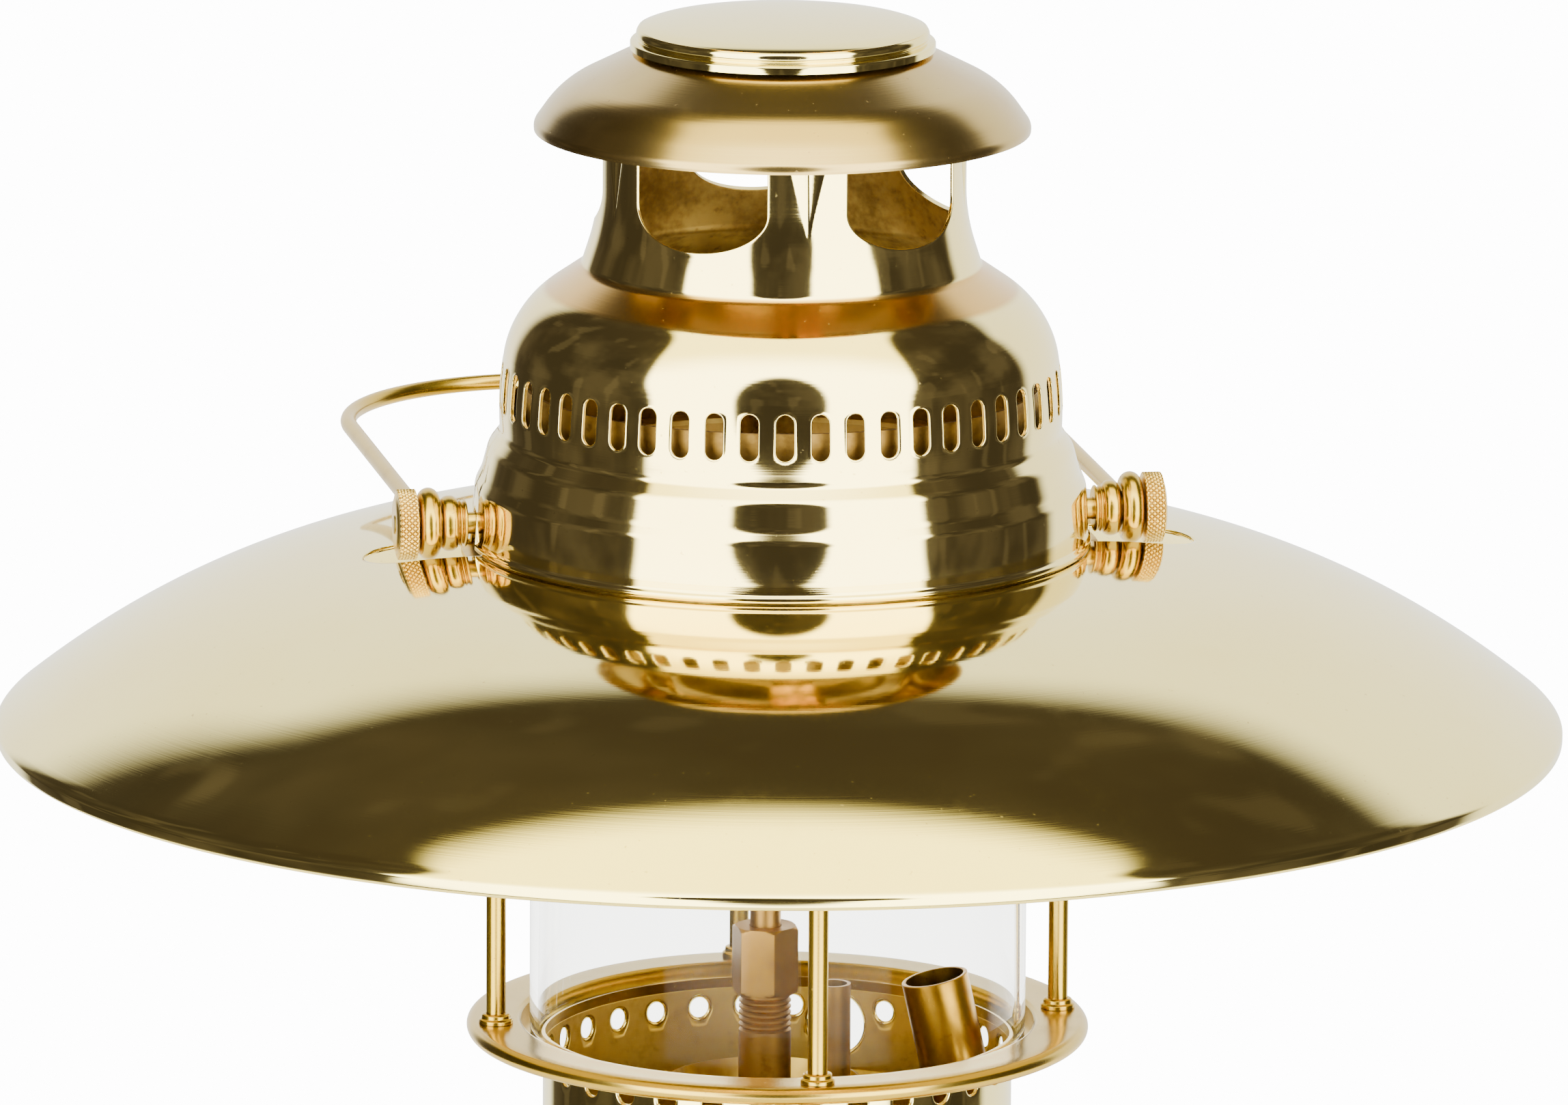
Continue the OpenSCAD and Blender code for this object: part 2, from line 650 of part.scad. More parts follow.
// ---------------------------------------------------------------- preheater torch
flame_low = 38.4;
flame_lean = 12.5;
module flame_tube() {
    color(satin) translate([flame_low, 0, tank_top + 38.5]) rotate([0, -flame_lean, 0])
        difference() {
            cylinder(d = flame_d, h = 30);
            translate([0, 0, -1]) cylinder(d = flame_d - 1.6, h = 40);
        }
}
block_d = 11;
block_low = tank_top + 5;
lever_x = riser_x + block_d / 2;
pin_d = 3;
module preheater_body() {
    color(bronze) difference() {
        union() {
            translate([riser_x, 0, 0]) {
                rod(riser_d, tank_top - 12, block_low + 1);
                rod(block_d, block_low, preheat_z + 7);
            }
            along_x(flame_low + 0.8, preheat_z)
                cylinder(d = preheat_hole_d - 2 * gap, h = riser_x - flame_low);
            translate([flame_low + 3, 0, 0]) rod(4, preheat_z, preheat_z + 6.4);
            along_x(lever_x - 1, preheat_z) cylinder(d = pin_d, h = 7);
        }
        translate([riser_x, 0, 0]) rod(2, tank_top - 13, preheat_z);
    }
}
module preheater_lever() {
    color(polished) along_x(lever_x + gap, preheat_z) difference() {
        union() {
            cylinder(d = 9, h = 4);
            translate([0, -2.5, 0.6]) cube([20, 5, 2.6]);
            translate([20, 0, 0.6]) cylinder(d = 7, h = 2.6);
        }
        translate([0, 0, -1]) cylinder(d = pin_d + 2 * run_gap, h = 8);
    }
}

// ---------------------------------------------------------------- control
wheel_y = -62;
module at_spindle(y) { translate([0, y, spindle_z]) rotate([90, 0, 0]) children(); }
module control_spindle() {
    color(satin) {
        at_spindle(vaporiser_y - 3.5) cylinder(d = spindle_d, h = vaporiser_y - 3.5 - wheel_y);
        translate([0, vaporiser_y - 1.5, spindle_z - lift_off / 2]) rotate([90, 0, 0])
            cylinder(r = eccentric_r - 0.6, h = 2.4);
    }
}
module gland_nut() {
    color(satin) at_spindle(boss_end - gap / 3) difference() {
        cylinder(d = 12.7, h = 8, $fn = 6);
        translate([0, 0, -1]) cylinder(d = spindle_d + 2 * run_gap, h = 10);
    }
}
spoke_w = 4;
module hand_wheel() {
    color(polished) at_spindle(wheel_y + 5) difference() {
        union() {
            rotate_extrude() translate([wheel_r - 2.2, 2.6]) circle(r = 2.2, $fn = 32);
            cylinder(d = 10, h = 5.2);
            for (a = [0:60:120]) rotate([0, 0, a])
                translate([-wheel_r + 2, -spoke_w / 2, 1.4]) cube([2 * wheel_r - 4, spoke_w, 2.2]);
        }
        translate([0, 0, -1]) cylinder(d = spindle_d + 0.1, h = 8);
    }
}
module wheel_screw() {
    color("silver") at_spindle(wheel_y - gap / 3 - 0.2) difference() {
        union() {
            cylinder(d = 6.6, h = 1.2);
            translate([0, 0, 1.2]) cylinder(d1 = 6.6, d2 = 3.6, h = 0.8);
        }
        translate([-5, -0.45, 1.1]) cube([10, 0.9, 2]);
    }
}

// ---------------------------------------------------------------- pump
barrel_wall = 1;
cap_t = 5;
piston_z = -pump_len + 12;
piston_t = 4;
leather_z = piston_z - 4.3;
knob_z = barrel_out + cap_t + 9;
module pump_barrel() {
    color(satin) at_shoulder(pump_turn) difference() {
        union() {
            rod(pump_d, -pump_len, barrel_out);
            translate([0, 0, 1]) rod(pump_d + 5, 0, 2);
        }
        rod(pump_d - 2 * barrel_wall, -pump_len + 2, barrel_out + 1);
        rod(6, -pump_len - 1, -pump_len + 3);
    }
}
module check_valve() {
    color(satin) at_shoulder(pump_turn) difference() {
        rod(5.8, -pump_len - 6, -pump_len + 1.9);
        rod(2.4, -pump_len - 7, -pump_len + 3);
    }
}
module pump_cap() {
    color(polished) at_shoulder(pump_turn) difference() {
        union() {
            translate([0, 0, barrel_out - 5]) knurled(pump_d + 4.4, cap_t + 3, 40, 0.4);
            translate([0, 0, barrel_out + cap_t - 2])
                cylinder(d1 = pump_d + 3.2, d2 = pump_rod_d + 6, h = 3);
        }
        rod(pump_d + 0.4, barrel_out - 6, barrel_out + gap / 3);
        rod(pump_rod_d + 2 * run_gap, barrel_out - 2, barrel_out + cap_t + 3);
    }
}
module pump_rod() {
    color("silver") at_shoulder(pump_turn) rod(pump_rod_d, piston_z + piston_t + gap / 3, knob_z);
}
module pump_knob() {
    low = knob_z - 5;
    color(polished) at_shoulder(pump_turn) difference() {
        rotate_extrude() polygon(concat([[0, low], [5, low], [5.6, low + 2], [4.6, low + 4]],
            [for (a = [-60:15:90]) [knob_r - 3 + 3 * cos(a), low + 8 + 3.2 * sin(a)]],
            [[0, low + 12]]));
        rod(pump_rod_d + 0.02, low - 1, knob_z + 0.05);
    }
}
module pump_piston() {
    color(satin) at_shoulder(pump_turn) difference() {
        rod(pump_d - 2 * barrel_wall - 1.2, piston_z, piston_z + piston_t);
        rod(2.6, piston_z - 1, piston_z + 5);
    }
}
module pump_leather() {
    bore = pump_d - 2 * barrel_wall;
    color([0.35, 0.2, 0.1]) at_shoulder(pump_turn) rotate_extrude() polygon([
        [2.6, leather_z + 2], [bore / 2 - 2.2, leather_z + 2], [bore / 2 - 1.6, leather_z - 2],
        [bore / 2 - run_gap, leather_z - 2], [bore / 2 - run_gap, leather_z + 2.6],
        [bore / 2 - 1.4, leather_z + 4.1], [2.6, leather_z + 4.1]]);
}

// ---------------------------------------------------------------- filler and gauge
filler_out = 7;
gasket_t = 1.4;
case_z = filler_out + gasket_t + gap;
module filler_neck() {
    color(satin) at_shoulder(filler_turn) difference() {
        union() {
            rod(filler_d, -6, filler_out);
            rod(filler_d + 5, 1, 3);
        }
        rod(filler_d - 4, -7, filler_out + 1);
    }
}
module filler_gasket() {
    color([0.12, 0.12, 0.12]) at_shoulder(filler_turn) difference() {
        rod(filler_d - 0.4, filler_out + gap / 3, filler_out + gasket_t);
        rod(filler_d - 6, filler_out - 1, filler_out + 3);
    }
}
module filler_cap() {
    color(polished) at_shoulder(filler_turn) difference() {
        translate([0, 0, 3.4]) knurled(gauge_d + 4, case_z - 2.4, 60, 0.4);
        rod(filler_d + 2 * gap, 3, case_z - 0.05);
        rod(8.2, case_z - 1, case_z + 2);
    }
}
module gauge_case() {
    color(polished) at_shoulder(filler_turn) difference() {
        union() {
            rotate_extrude() polygon([[0, case_z + 1.1], [12, case_z + 1.1],
                [gauge_d / 2, case_z + 3], [gauge_d / 2, case_z + 10],
                [gauge_d / 2 - 1, case_z + 11], [gauge_d / 2 - 2.6, case_z + 11],
                [gauge_d / 2 - 2.6, case_z + 5], [0, case_z + 5]]);
            rod(8, case_z - 3, case_z + 1.2);
            translate([0, 0, case_z + 6]) rotate([0, 90, 0]) cylinder(d = 7, h = gauge_d / 2 + 3);
        }
        translate([0, 0, case_z + 6]) rotate([0, 90, 0])
            translate([0, 0, gauge_d / 2 - 2]) cylinder(d = 3.2 + 2 * run_gap, h = 8);
        rod(gauge_d - 5.2, case_z + 5, case_z + 12);
    }
}
module gauge_dial() {
    color([0.95, 0.94, 0.9]) at_shoulder(filler_turn)
        ring(1.2, gauge_d / 2 - 2.9, case_z + 5.1, case_z + 5.7);
}
module gauge_needle() {
    color([0.1, 0.1, 0.1]) at_shoulder(filler_turn) translate([0, 0, case_z + 6.1]) {
        cylinder(d = 3.4, h = 0.8);
        translate([0, 0, -0.9]) cylinder(d = 1.6, h = 1);
        linear_extrude(0.6) polygon([[-4, -0.9], [0, -1.1], [gauge_d / 2 - 5, -0.2],
            [gauge_d / 2 - 5, 0.2], [0, 1.1], [-4, 0.9]]);
    }
}
module gauge_glass() {
    color([0.9, 0.95, 0.95, 0.35]) at_shoulder(filler_turn)
        rod(gauge_d - 5.6, case_z + 8.6, case_z + 10.2);
}
module release_screw() {
    color(polished) at_shoulder(filler_turn) translate([0, 0, case_z + 6]) rotate([0, 90, 0]) {
        translate([0, 0, gauge_d / 2 - 1.6]) cylinder(d = 3.2, h = 5.4);
        translate([0, 0, gauge_d / 2 + 3.4]) knurled(9, 4.6, 24, 0.35);
    }
}

foot_ring();
tank();
pickup_tube();
pickup_strainer();
collar();
gallery_ring();
posts();
post_flanges();
upper_ring();
studs();
stud_collars();
knurled_nut_left();
knurled_nut_right();
bail();
reflector();
hood();
cap();
cap_disc();
inner_casing();
heat_deck();
glass_cylinder();
valve_body();
vaporiser_bush();
union_nut();
vaporiser_tube();
jet();
cleaning_needle();
spirit_cup();
spirit_filler_tube();
control_spindle();
gland_nut();
hand_wheel();
wheel_screw();
mixing_tube();
gas_chamber();
ceramic_nozzle();
mantle();
preheater_body();
preheater_lever();
flame_tube();
pump_barrel();
pump_cap();
pump_rod();
pump_knob();
pump_piston();
pump_leather();
check_valve();
filler_neck();
filler_gasket();
filler_cap();
gauge_case();
gauge_dial();
gauge_needle();
gauge_glass();
release_screw();
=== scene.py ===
import bmesh
import bpy
import math
import numpy as np
from mathutils import Matrix, Vector


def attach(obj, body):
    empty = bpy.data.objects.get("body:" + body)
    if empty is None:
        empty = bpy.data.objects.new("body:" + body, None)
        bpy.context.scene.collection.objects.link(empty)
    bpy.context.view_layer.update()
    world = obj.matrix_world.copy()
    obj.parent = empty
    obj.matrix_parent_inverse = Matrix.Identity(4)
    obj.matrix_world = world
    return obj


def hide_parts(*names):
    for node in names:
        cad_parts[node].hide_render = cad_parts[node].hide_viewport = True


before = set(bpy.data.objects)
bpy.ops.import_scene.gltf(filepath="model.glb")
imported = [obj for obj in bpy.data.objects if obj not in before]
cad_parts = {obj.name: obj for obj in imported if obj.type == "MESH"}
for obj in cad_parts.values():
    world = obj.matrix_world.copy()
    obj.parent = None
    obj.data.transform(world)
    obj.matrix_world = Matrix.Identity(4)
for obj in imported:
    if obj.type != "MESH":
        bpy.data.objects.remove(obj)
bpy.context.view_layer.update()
print("frame loaded:", len(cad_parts), "nodes")

mm = 0.001


# ---- shader maths: a wire is one socket, and + - * / on it add Math nodes
class Wire:
    def __init__(self, shade, socket):
        self.shade = shade
        self.socket = socket

    def math(self, operation, first, second=None):
        values = {0: first}
        if second is not None:
            values[1] = second
        return self.shade.node("ShaderNodeMath", {"operation": operation}, values)

    def __add__(self, other):
        return self.math("ADD", self, other)

    def __radd__(self, other):
        return self.math("ADD", other, self)

    def __sub__(self, other):
        return self.math("SUBTRACT", self, other)

    def __rsub__(self, other):
        return self.math("SUBTRACT", other, self)

    def __mul__(self, other):
        return self.math("MULTIPLY", self, other)

    def __rmul__(self, other):
        return self.math("MULTIPLY", other, self)

    def __truediv__(self, other):
        return self.math("DIVIDE", self, other)

    def one(self, operation):  # a Math node with a single input
        return self.math(operation, self)

    def atLeast(self, low):
        return self.math("MAXIMUM", self, low)

    def held(self):  # between 0 and 1
        return self.shade.node("ShaderNodeClamp", {}, {"Value": self})

    def between(self, low, high):  # 0 below low, 1 above high, smooth in between
        return self.shade.node("ShaderNodeMapRange", {"interpolation_type": "SMOOTHSTEP"},
                               {"Value": self, "From Min": low, "From Max": high})


class Shade:
    def __init__(self, tree):
        self.tree = tree
        tree.nodes.clear()

    def node(self, kind, settings, values, out=0):
        made = self.tree.nodes.new(kind)
        for key, value in settings.items():
            setattr(made, key, value)
        for key, value in values.items():
            if isinstance(value, Wire):
                self.tree.links.new(value.socket, made.inputs[key])
            else:
                made.inputs[key].default_value = value
        return Wire(self, made.outputs[out]) if len(made.outputs) else made

    def place(self):
        return self.node("ShaderNodeTexCoord", {}, {}, "Object")

    def split(self, vector):
        made = self.node("ShaderNodeSeparateXYZ", {}, {"Vector": vector})
        return [Wire(self, made.socket.node.outputs[k]) for k in range(3)]

    def join(self, x, y, z):
        return self.node("ShaderNodeCombineXYZ", {}, {"X": x, "Y": y, "Z": z})

    def noise(self, vector, scale, detail=3.0, rough=0.5):
        return self.node("ShaderNodeTexNoise", {}, {"Vector": vector, "Scale": scale,
                         "Detail": detail, "Roughness": rough})

    def stretch(self, vector, scale):
        return self.node("ShaderNodeMapping", {}, {"Vector": vector, "Scale": scale})

    def mix(self, factor, first, second):
        made = self.tree.nodes.new("ShaderNodeMix")
        made.data_type = "RGBA"
        for key, value in ((0, factor), (6, first), (7, second)):
            if isinstance(value, Wire):
                self.tree.links.new(value.socket, made.inputs[key])
            elif key == 0:
                made.inputs[key].default_value = value
            else:
                made.inputs[key].default_value = (*value[:3], 1)
        return Wire(self, made.outputs[2])

    def bump(self, height, depth, strength=1.0):
        return self.node("ShaderNodeBump", {}, {"Height": height, "Distance": depth,
                         "Strength": strength})


def newMaterial(name):
    material = bpy.data.materials.new(name)
    material.use_nodes = True
    return material, Shade(material.node_tree)


def closeMaterial(shade, values):
    surface = shade.node("ShaderNodeBsdfPrincipled", {}, values)
    shade.node("ShaderNodeOutputMaterial", {}, {"Surface": surface})


# ---- finishes
def polishedBrass(name, tint, deep, sheen, spun, ledge=None):
    material, shade = newMaterial(name)
    place = shade.place()
    x, y, z = shade.split(place)
    out = shade.node("ShaderNodeVectorMath", {"operation": "LENGTH"},
                     {0: shade.join(x, y, 0.0)}, "Value")
    turned = shade.join(out, z, 0.0)
    lines = shade.noise(turned, 2600.0, 2.0)
    bands = shade.noise(turned, 160.0, 2.0)
    clouds = shade.noise(place, 22.0, 4.0, 0.6)
    smears = shade.noise(shade.stretch(place, (60.0, 60.0, 18.0)), 1.0, 5.0, 0.65)
    specks = shade.noise(place, 900.0, 1.0).between(0.74, 0.80)
    film = smears.between(0.50, 0.78)
    colour = shade.mix(clouds.between(0.35, 0.75) * 0.35 + film * 0.15, tint, deep)
    colour = shade.mix(specks * 0.35, colour, (0.30, 0.19, 0.07))
    rough = sheen + film * 0.05 + lines * 0.02 + bands * 0.012 + specks * 0.10
    if ledge:  # a duller spun band between two heights
        dull = z.between(ledge[0], ledge[0] + 0.0012) * (
            1 - z.between(ledge[1], ledge[1] + 0.0006))
        colour = shade.mix(dull * 0.9, colour, (0.60, 0.34, 0.07))
        rough = rough + dull * 0.12
    height = lines * 0.6 + bands * 0.4 + smears * 0.2
    closeMaterial(shade, {"Base Color": colour, "Metallic": 1.0, "Roughness": rough,
                          "Normal": shade.bump(height, spun * mm)})
    return material


def turnedBrass(name, tint, deep, sheen, grain, stain):
    material, shade = newMaterial(name)
    place = shade.place()
    x, y, z = shade.split(place)
    out = shade.node("ShaderNodeVectorMath", {"operation": "LENGTH"},
                     {0: shade.join(x, y, 0.0)}, "Value")
    turned = shade.join(out, z, 0.0)
    lines = shade.noise(turned, 3200.0, 3.0, 0.6)
    clouds = shade.noise(place, 70.0, 5.0, 0.62)
    spots = shade.noise(place, 420.0, 3.0, 0.6)
    mask = (clouds * 0.7 + spots * 0.3).between(0.42, 0.66)
    colour = shade.mix(mask * stain, tint, deep)
    colour = shade.mix(spots.between(0.62, 0.74) * 0.5, colour, deep)
    rough = sheen + mask * 0.12 + lines * 0.10
    closeMaterial(shade, {"Base Color": colour, "Metallic": 1.0, "Roughness": rough,
                          "Normal": shade.bump(lines * 0.5 + spots * 0.5, grain * mm)})
    return material


# Painted shade: the grooves between the diamonds are coloured darker, and rougher, and only on the
# drum's knurled band
def knurledBrass(name, tint, deep, sheen):
    near, far = stud["nutAt"], stud["nutAt"] + stud["nutThick"]
    crest = stud["nut"] / 2
    material, shade = newMaterial(name)
    place = shade.place()
    x, y, z = shade.split(place)
    up = z - stud["height"] * mm
    out = (y * y + up * up).one("SQRT")
    side = x.one("ABSOLUTE")
    band = side.between((near + 0.1) * mm, (near + 0.3) * mm)
    band = band * (1 - side.between((far - 0.3) * mm, (far - 0.1) * mm))
    grooveShade = (1 - out.between((crest - 0.34) * mm, (crest - 0.06) * mm)) * band
    grooveShade = (grooveShade * out.between((crest - 0.7) * mm, (crest - 0.6) * mm)).held()
    spots = shade.noise(place, 700.0, 3.0, 0.6)
    # painted shade in the grooves, and random darker spots, mixed towards the deep colour
    colour = shade.mix(grooveShade * 0.85 + spots.between(0.6, 0.8) * 0.2, tint, deep)
    closeMaterial(shade, {"Base Color": colour, "Metallic": 1.0,
                          "Roughness": sheen + grooveShade * 0.15 + spots * 0.06,
                          "Normal": shade.bump(spots, 0.01 * mm)})
    return material


thinGlass = 1.14  # a low index, so that the thin wall's edges stay bright


def clearGlass(name):
    material, shade = newMaterial(name)
    place = shade.place()
    drawn = shade.noise(shade.stretch(place, (26.0, 26.0, 5.0)), 1.0, 2.0)
    seeds = shade.noise(place, 700.0, 1.0).between(0.80, 0.84)
    closeMaterial(shade, {"Base Color": shade.mix(seeds, (0.985, 0.995, 0.995),
                                                  (0.90, 0.93, 0.93)),
                          "Roughness": seeds * 0.15, "IOR": thinGlass,
                          "Transmission Weight": 1.0, "Alpha": 1.0,
                          "Normal": shade.bump(drawn, 0.05 * mm, 0.3)})
    return material


def plainFinish(name, tint, deep, sheen, scale, depth, metal=0.0):
    material, shade = newMaterial(name)
    place = shade.place()
    coarse = shade.noise(place, scale, 5.0, 0.6)
    fine = shade.noise(place, scale * 9.0, 3.0, 0.6)
    colour = shade.mix(coarse.between(0.35, 0.7), tint, deep)
    colour = shade.mix(fine.between(0.6, 0.75) * 0.35, colour, deep)
    closeMaterial(shade, {"Base Color": colour, "Metallic": metal,
                          "Roughness": sheen + coarse * 0.15 + fine * 0.08,
                          "Normal": shade.bump(coarse * 0.4 + fine * 0.6, depth * mm)})
    return material


def wovenMantle(name):
    material, shade = newMaterial(name)
    place = shade.place()
    x, y, z = shade.split(place)
    turn = x.math("ARCTAN2", y, x)
    warp = (turn * 46.0 + z * 900.0).one("SINE")
    weft = (z * 5200.0 - turn * 6.0).one("SINE")
    thread = (warp * 0.5 + weft * 0.5 + 0.5).held()
    slub = shade.noise(place, 300.0, 3.0)
    colour = shade.mix(slub.between(0.4, 0.7), (0.86, 0.85, 0.80), (0.74, 0.72, 0.66))
    closeMaterial(shade, {"Base Color": colour, "Roughness": 0.85 + slub * 0.1,
                          "Normal": shade.bump(thread + slub * 0.3, 0.25 * mm)})
    return material


def dialFace(name, centre, across, normal):
    material, shade = newMaterial(name)
    place = shade.place()
    away = shade.node("ShaderNodeVectorMath", {"operation": "SUBTRACT"},
                      {0: place, 1: tuple(centre)})
    up = Vector(normal).cross(Vector(across))
    u = shade.node("ShaderNodeVectorMath", {"operation": "DOT_PRODUCT"},
                   {0: away, 1: tuple(across)}, "Value")
    v = shade.node("ShaderNodeVectorMath", {"operation": "DOT_PRODUCT"},
                   {0: away, 1: tuple(up)}, "Value")
    turn = u.math("ARCTAN2", v, u)
    out = (u * u + v * v).one("SQRT")
    tick = (turn * 20.0).one("COSINE").between(0.93, 0.97)
    ring = out.between(0.0092, 0.0094) * (1 - out.between(0.0114, 0.0116))
    line = out.between(0.0117, 0.0118) * (1 - out.between(0.0120, 0.0121))
    ink = (tick * ring + line).held()
    fleck = shade.noise(place, 500.0, 3.0)
    paper = shade.mix(fleck.between(0.4, 0.7), (0.86, 0.84, 0.77), (0.80, 0.77, 0.68))
    closeMaterial(shade, {"Base Color": shade.mix(ink, paper, (0.02, 0.02, 0.02)),
                          "Roughness": 0.4 + fleck * 0.1,
                          "Normal": shade.bump(fleck, 0.01 * mm)})
    return material


brass = polishedBrass("polished_brass", (0.92, 0.78, 0.28), (0.88, 0.69, 0.20), 0.040, 0.006)
hoodBrass = polishedBrass("hood_brass", (0.92, 0.76, 0.29), (0.86, 0.66, 0.21), 0.045, 0.008,
                          (0.3388, 0.3446))
capBrass = polishedBrass("cap_brass", (0.46, 0.33, 0.11), (0.40, 0.25, 0.07), 0.19, 0.012)
plateBrass = polishedBrass("plate_brass", (0.58, 0.40, 0.06), (0.48, 0.30, 0.03), 0.20, 0.01)
brassRod = polishedBrass("rod_brass", (0.56, 0.37, 0.04), (0.46, 0.28, 0.02), 0.22, 0.01)
satin = turnedBrass("satin_brass", (0.62, 0.43, 0.09), (0.36, 0.22, 0.04), 0.28, 0.012, 0.7)
inside = turnedBrass("inside_brass", (0.60, 0.41, 0.10), (0.28, 0.16, 0.03), 0.34, 0.012, 0.9)
nutBrass = turnedBrass("nut_brass", (0.62, 0.42, 0.06), (0.48, 0.28, 0.03), 0.24, 0.01, 0.5)
bronze = turnedBrass("bronze", (0.36, 0.20, 0.04), (0.24, 0.12, 0.02), 0.36, 0.02, 0.8)
flameBrass = turnedBrass("flame_brass", (0.40, 0.22, 0.015), (0.26, 0.12, 0.01), 0.24, 0.02, 0.7)
collarBrass = turnedBrass("collar_inside", (0.88, 0.64, 0.14), (0.62, 0.40, 0.06), 0.42, 0.02, 0.7)
# painted shade: the inner casing, seen through the hood's slots, gets a darker brass than the rest
shadedCasingBrass = turnedBrass("casing_brass_painted_shade", (0.36, 0.22, 0.05), (0.18, 0.10, 0.02), 0.42, 0.02, 0.8)
glass = clearGlass("clear_glass")
steel = plainFinish("steel", (0.62, 0.61, 0.60), (0.45, 0.44, 0.42), 0.22, 120.0, 0.01, 1.0)
clay = plainFinish("ceramic", (0.80, 0.74, 0.64), (0.66, 0.58, 0.46), 0.80, 140.0, 0.12)
mantleCloth = wovenMantle("mantle_cloth")
hide = plainFinish("leather", (0.24, 0.12, 0.05), (0.10, 0.05, 0.02), 0.55, 260.0, 0.12)
rubber = plainFinish("black_rubber", (0.03, 0.03, 0.03), (0.06, 0.055, 0.05), 0.65, 220.0, 0.05)
ink = plainFinish("needle_paint", (0.02, 0.02, 0.02), (0.04, 0.04, 0.04), 0.35, 300.0, 0.01)
print("finishes made")


# ---- mesh tools, all in millimetres on the lantern's axis
def bend(a, b, c, steps):
    return [tuple((1 - t) * (1 - t) * p + 2 * t * (1 - t) * q + t * t * r
                  for p, q, r in zip(a, b, c)) for t in np.linspace(0, 1, steps + 1)]


# A path of (radius, height, reach): each corner is rounded over its reach
def rounded(path, steps=12):
    out = []
    for i, (r, z, reach) in enumerate(path):
        here = Vector((r, z))
        if reach == 0 or i in (0, len(path) - 1):
            out.append((r, z))
            continue
        before = (Vector(path[i - 1][:2]) - here).normalized() * reach
        after = (Vector(path[i + 1][:2]) - here).normalized() * reach
        out += bend(here + before, here, here + after, steps)
    return out


def lifted(path, height):
    return [(r, z + height) for r, z in path]


# Turns that bring the +Z axis onto a stud or the tank's shoulder
def alongX(side, height):
    return (Matrix.Translation((0, 0, height)) @ Matrix.Rotation(0 if side > 0 else math.pi, 4, "Z")
            @ Matrix.Rotation(math.pi / 2, 4, "Y"))


def atShoulder(turn):
    return (Matrix.Rotation(math.radians(turn), 4, "Z") @ Matrix.Translation((70, 0, 112.4))
            @ Matrix.Rotation(math.radians(50.5274), 4, "Y"))


class Solid:
    def __init__(self):
        self.points = []
        self.faces = []

    def add(self, points, faces, matrix=None):
        base = len(self.points)
        if matrix is not None:
            points = [tuple(matrix @ Vector(p)) for p in points]
        self.points += [tuple(p) for p in points]
        self.faces += [tuple(base + k for k in face) for face in faces]
        return self

    # closed: the path is the outline of a section, joined end to end
    def lathe(self, path, columns=240, closed=True, matrix=None):
        turns = np.linspace(0, 2 * math.pi, columns, endpoint=False)
        points, rows = [], []
        for r, z in path:
            if r < 1e-6:
                rows.append([len(points)] * columns)
                points.append((0.0, 0.0, z))
            else:
                rows.append(list(range(len(points), len(points) + columns)))
                points += [(r * math.cos(a), r * math.sin(a), z) for a in turns]
        faces = []
        pairs = list(zip(rows, rows[1:])) + ([(rows[-1], rows[0])] if closed else [])
        for low, high in pairs:
            if low[0] == low[1] and high[0] == high[1]:
                continue
            for k in range(columns):
                n = (k + 1) % columns
                corners = [low[k], low[n], high[n], high[k]]
                unique = [c for j, c in enumerate(corners) if c not in corners[:j]]
                faces.append(tuple(unique))
        return self.add(points, faces, matrix)

    # a drum with a diamond knurl round it: (height, radius, knurl depth) rings
    def knurled(self, rings, diamonds, pitch, columns=360, matrix=None):
        points, faces = [], []
        for z, r, depth in rings:
            for k in range(columns):
                a = 2 * math.pi * k / columns
                one = abs(math.sin((diamonds * a + 2 * math.pi * z / pitch) / 2))
                two = abs(math.sin((diamonds * a - 2 * math.pi * z / pitch) / 2))
                reach = r - depth * (1 - min(one, two, 0.8) / 0.8)
                points.append((reach * math.cos(a), reach * math.sin(a), z))
        for row in range(len(rings) - 1):
            for k in range(columns):
                n = (k + 1) % columns
                faces.append((row * columns + k, row * columns + n, (row + 1) * columns + n,
                              (row + 1) * columns + k))
        points += [(0, 0, rings[0][0]), (0, 0, rings[-1][0])]
        low, high, last = len(points) - 2, len(points) - 1, (len(rings) - 1) * columns
        for k in range(columns):
            n = (k + 1) % columns
            faces.append((low, n, k))
            faces.append((high, last + k, last + n))
        return self.add(points, faces, matrix)

    # a round wire along points; loop joins its ends
    def wire(self, line, radius, sides=24, loop=False, matrix=None):
        line = [Vector(p) for p in line]
        count = len(line)
        up, points = None, []
        for i, p in enumerate(line):
            if loop:
                along = line[(i + 1) % count] - line[i - 1]
            else:
                along = line[min(i + 1, count - 1)] - line[max(i - 1, 0)]
            along.normalize()
            if up is None:
                up = along.orthogonal().normalized()
            up = (up - along * up.dot(along)).normalized()
            side = along.cross(up)
            points += [p + radius * (math.cos(a) * up + math.sin(a) * side)
                       for a in np.linspace(0, 2 * math.pi, sides, endpoint=False)]
        faces = []
        for i in range(count if loop else count - 1):
            n = (i + 1) % count
            faces += [(i * sides + k, i * sides + (k + 1) % sides,
                       n * sides + (k + 1) % sides, n * sides + k) for k in range(sides)]
        if not loop:
            faces += [tuple(range(sides))[::-1],
                      tuple(range((count - 1) * sides, count * sides))]
        return self.add(points, faces, matrix)

    def build(self, name, finishes, body, replaced, slot, sharp=32.0):
        mesh = bpy.data.meshes.new(name)
        mesh.from_pydata([tuple(c * mm for c in p) for p in self.points], [], self.faces)
        finishes = finishes if isinstance(finishes, list) else [finishes]
        for finish in finishes:
            mesh.materials.append(finish)
        made = bpy.data.objects.new(name, mesh)
        bpy.context.scene.collection.objects.link(made)
        tidyMesh(mesh, sharp)
        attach(made, body)
        if replaced:
            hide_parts(*replaced)
        return made


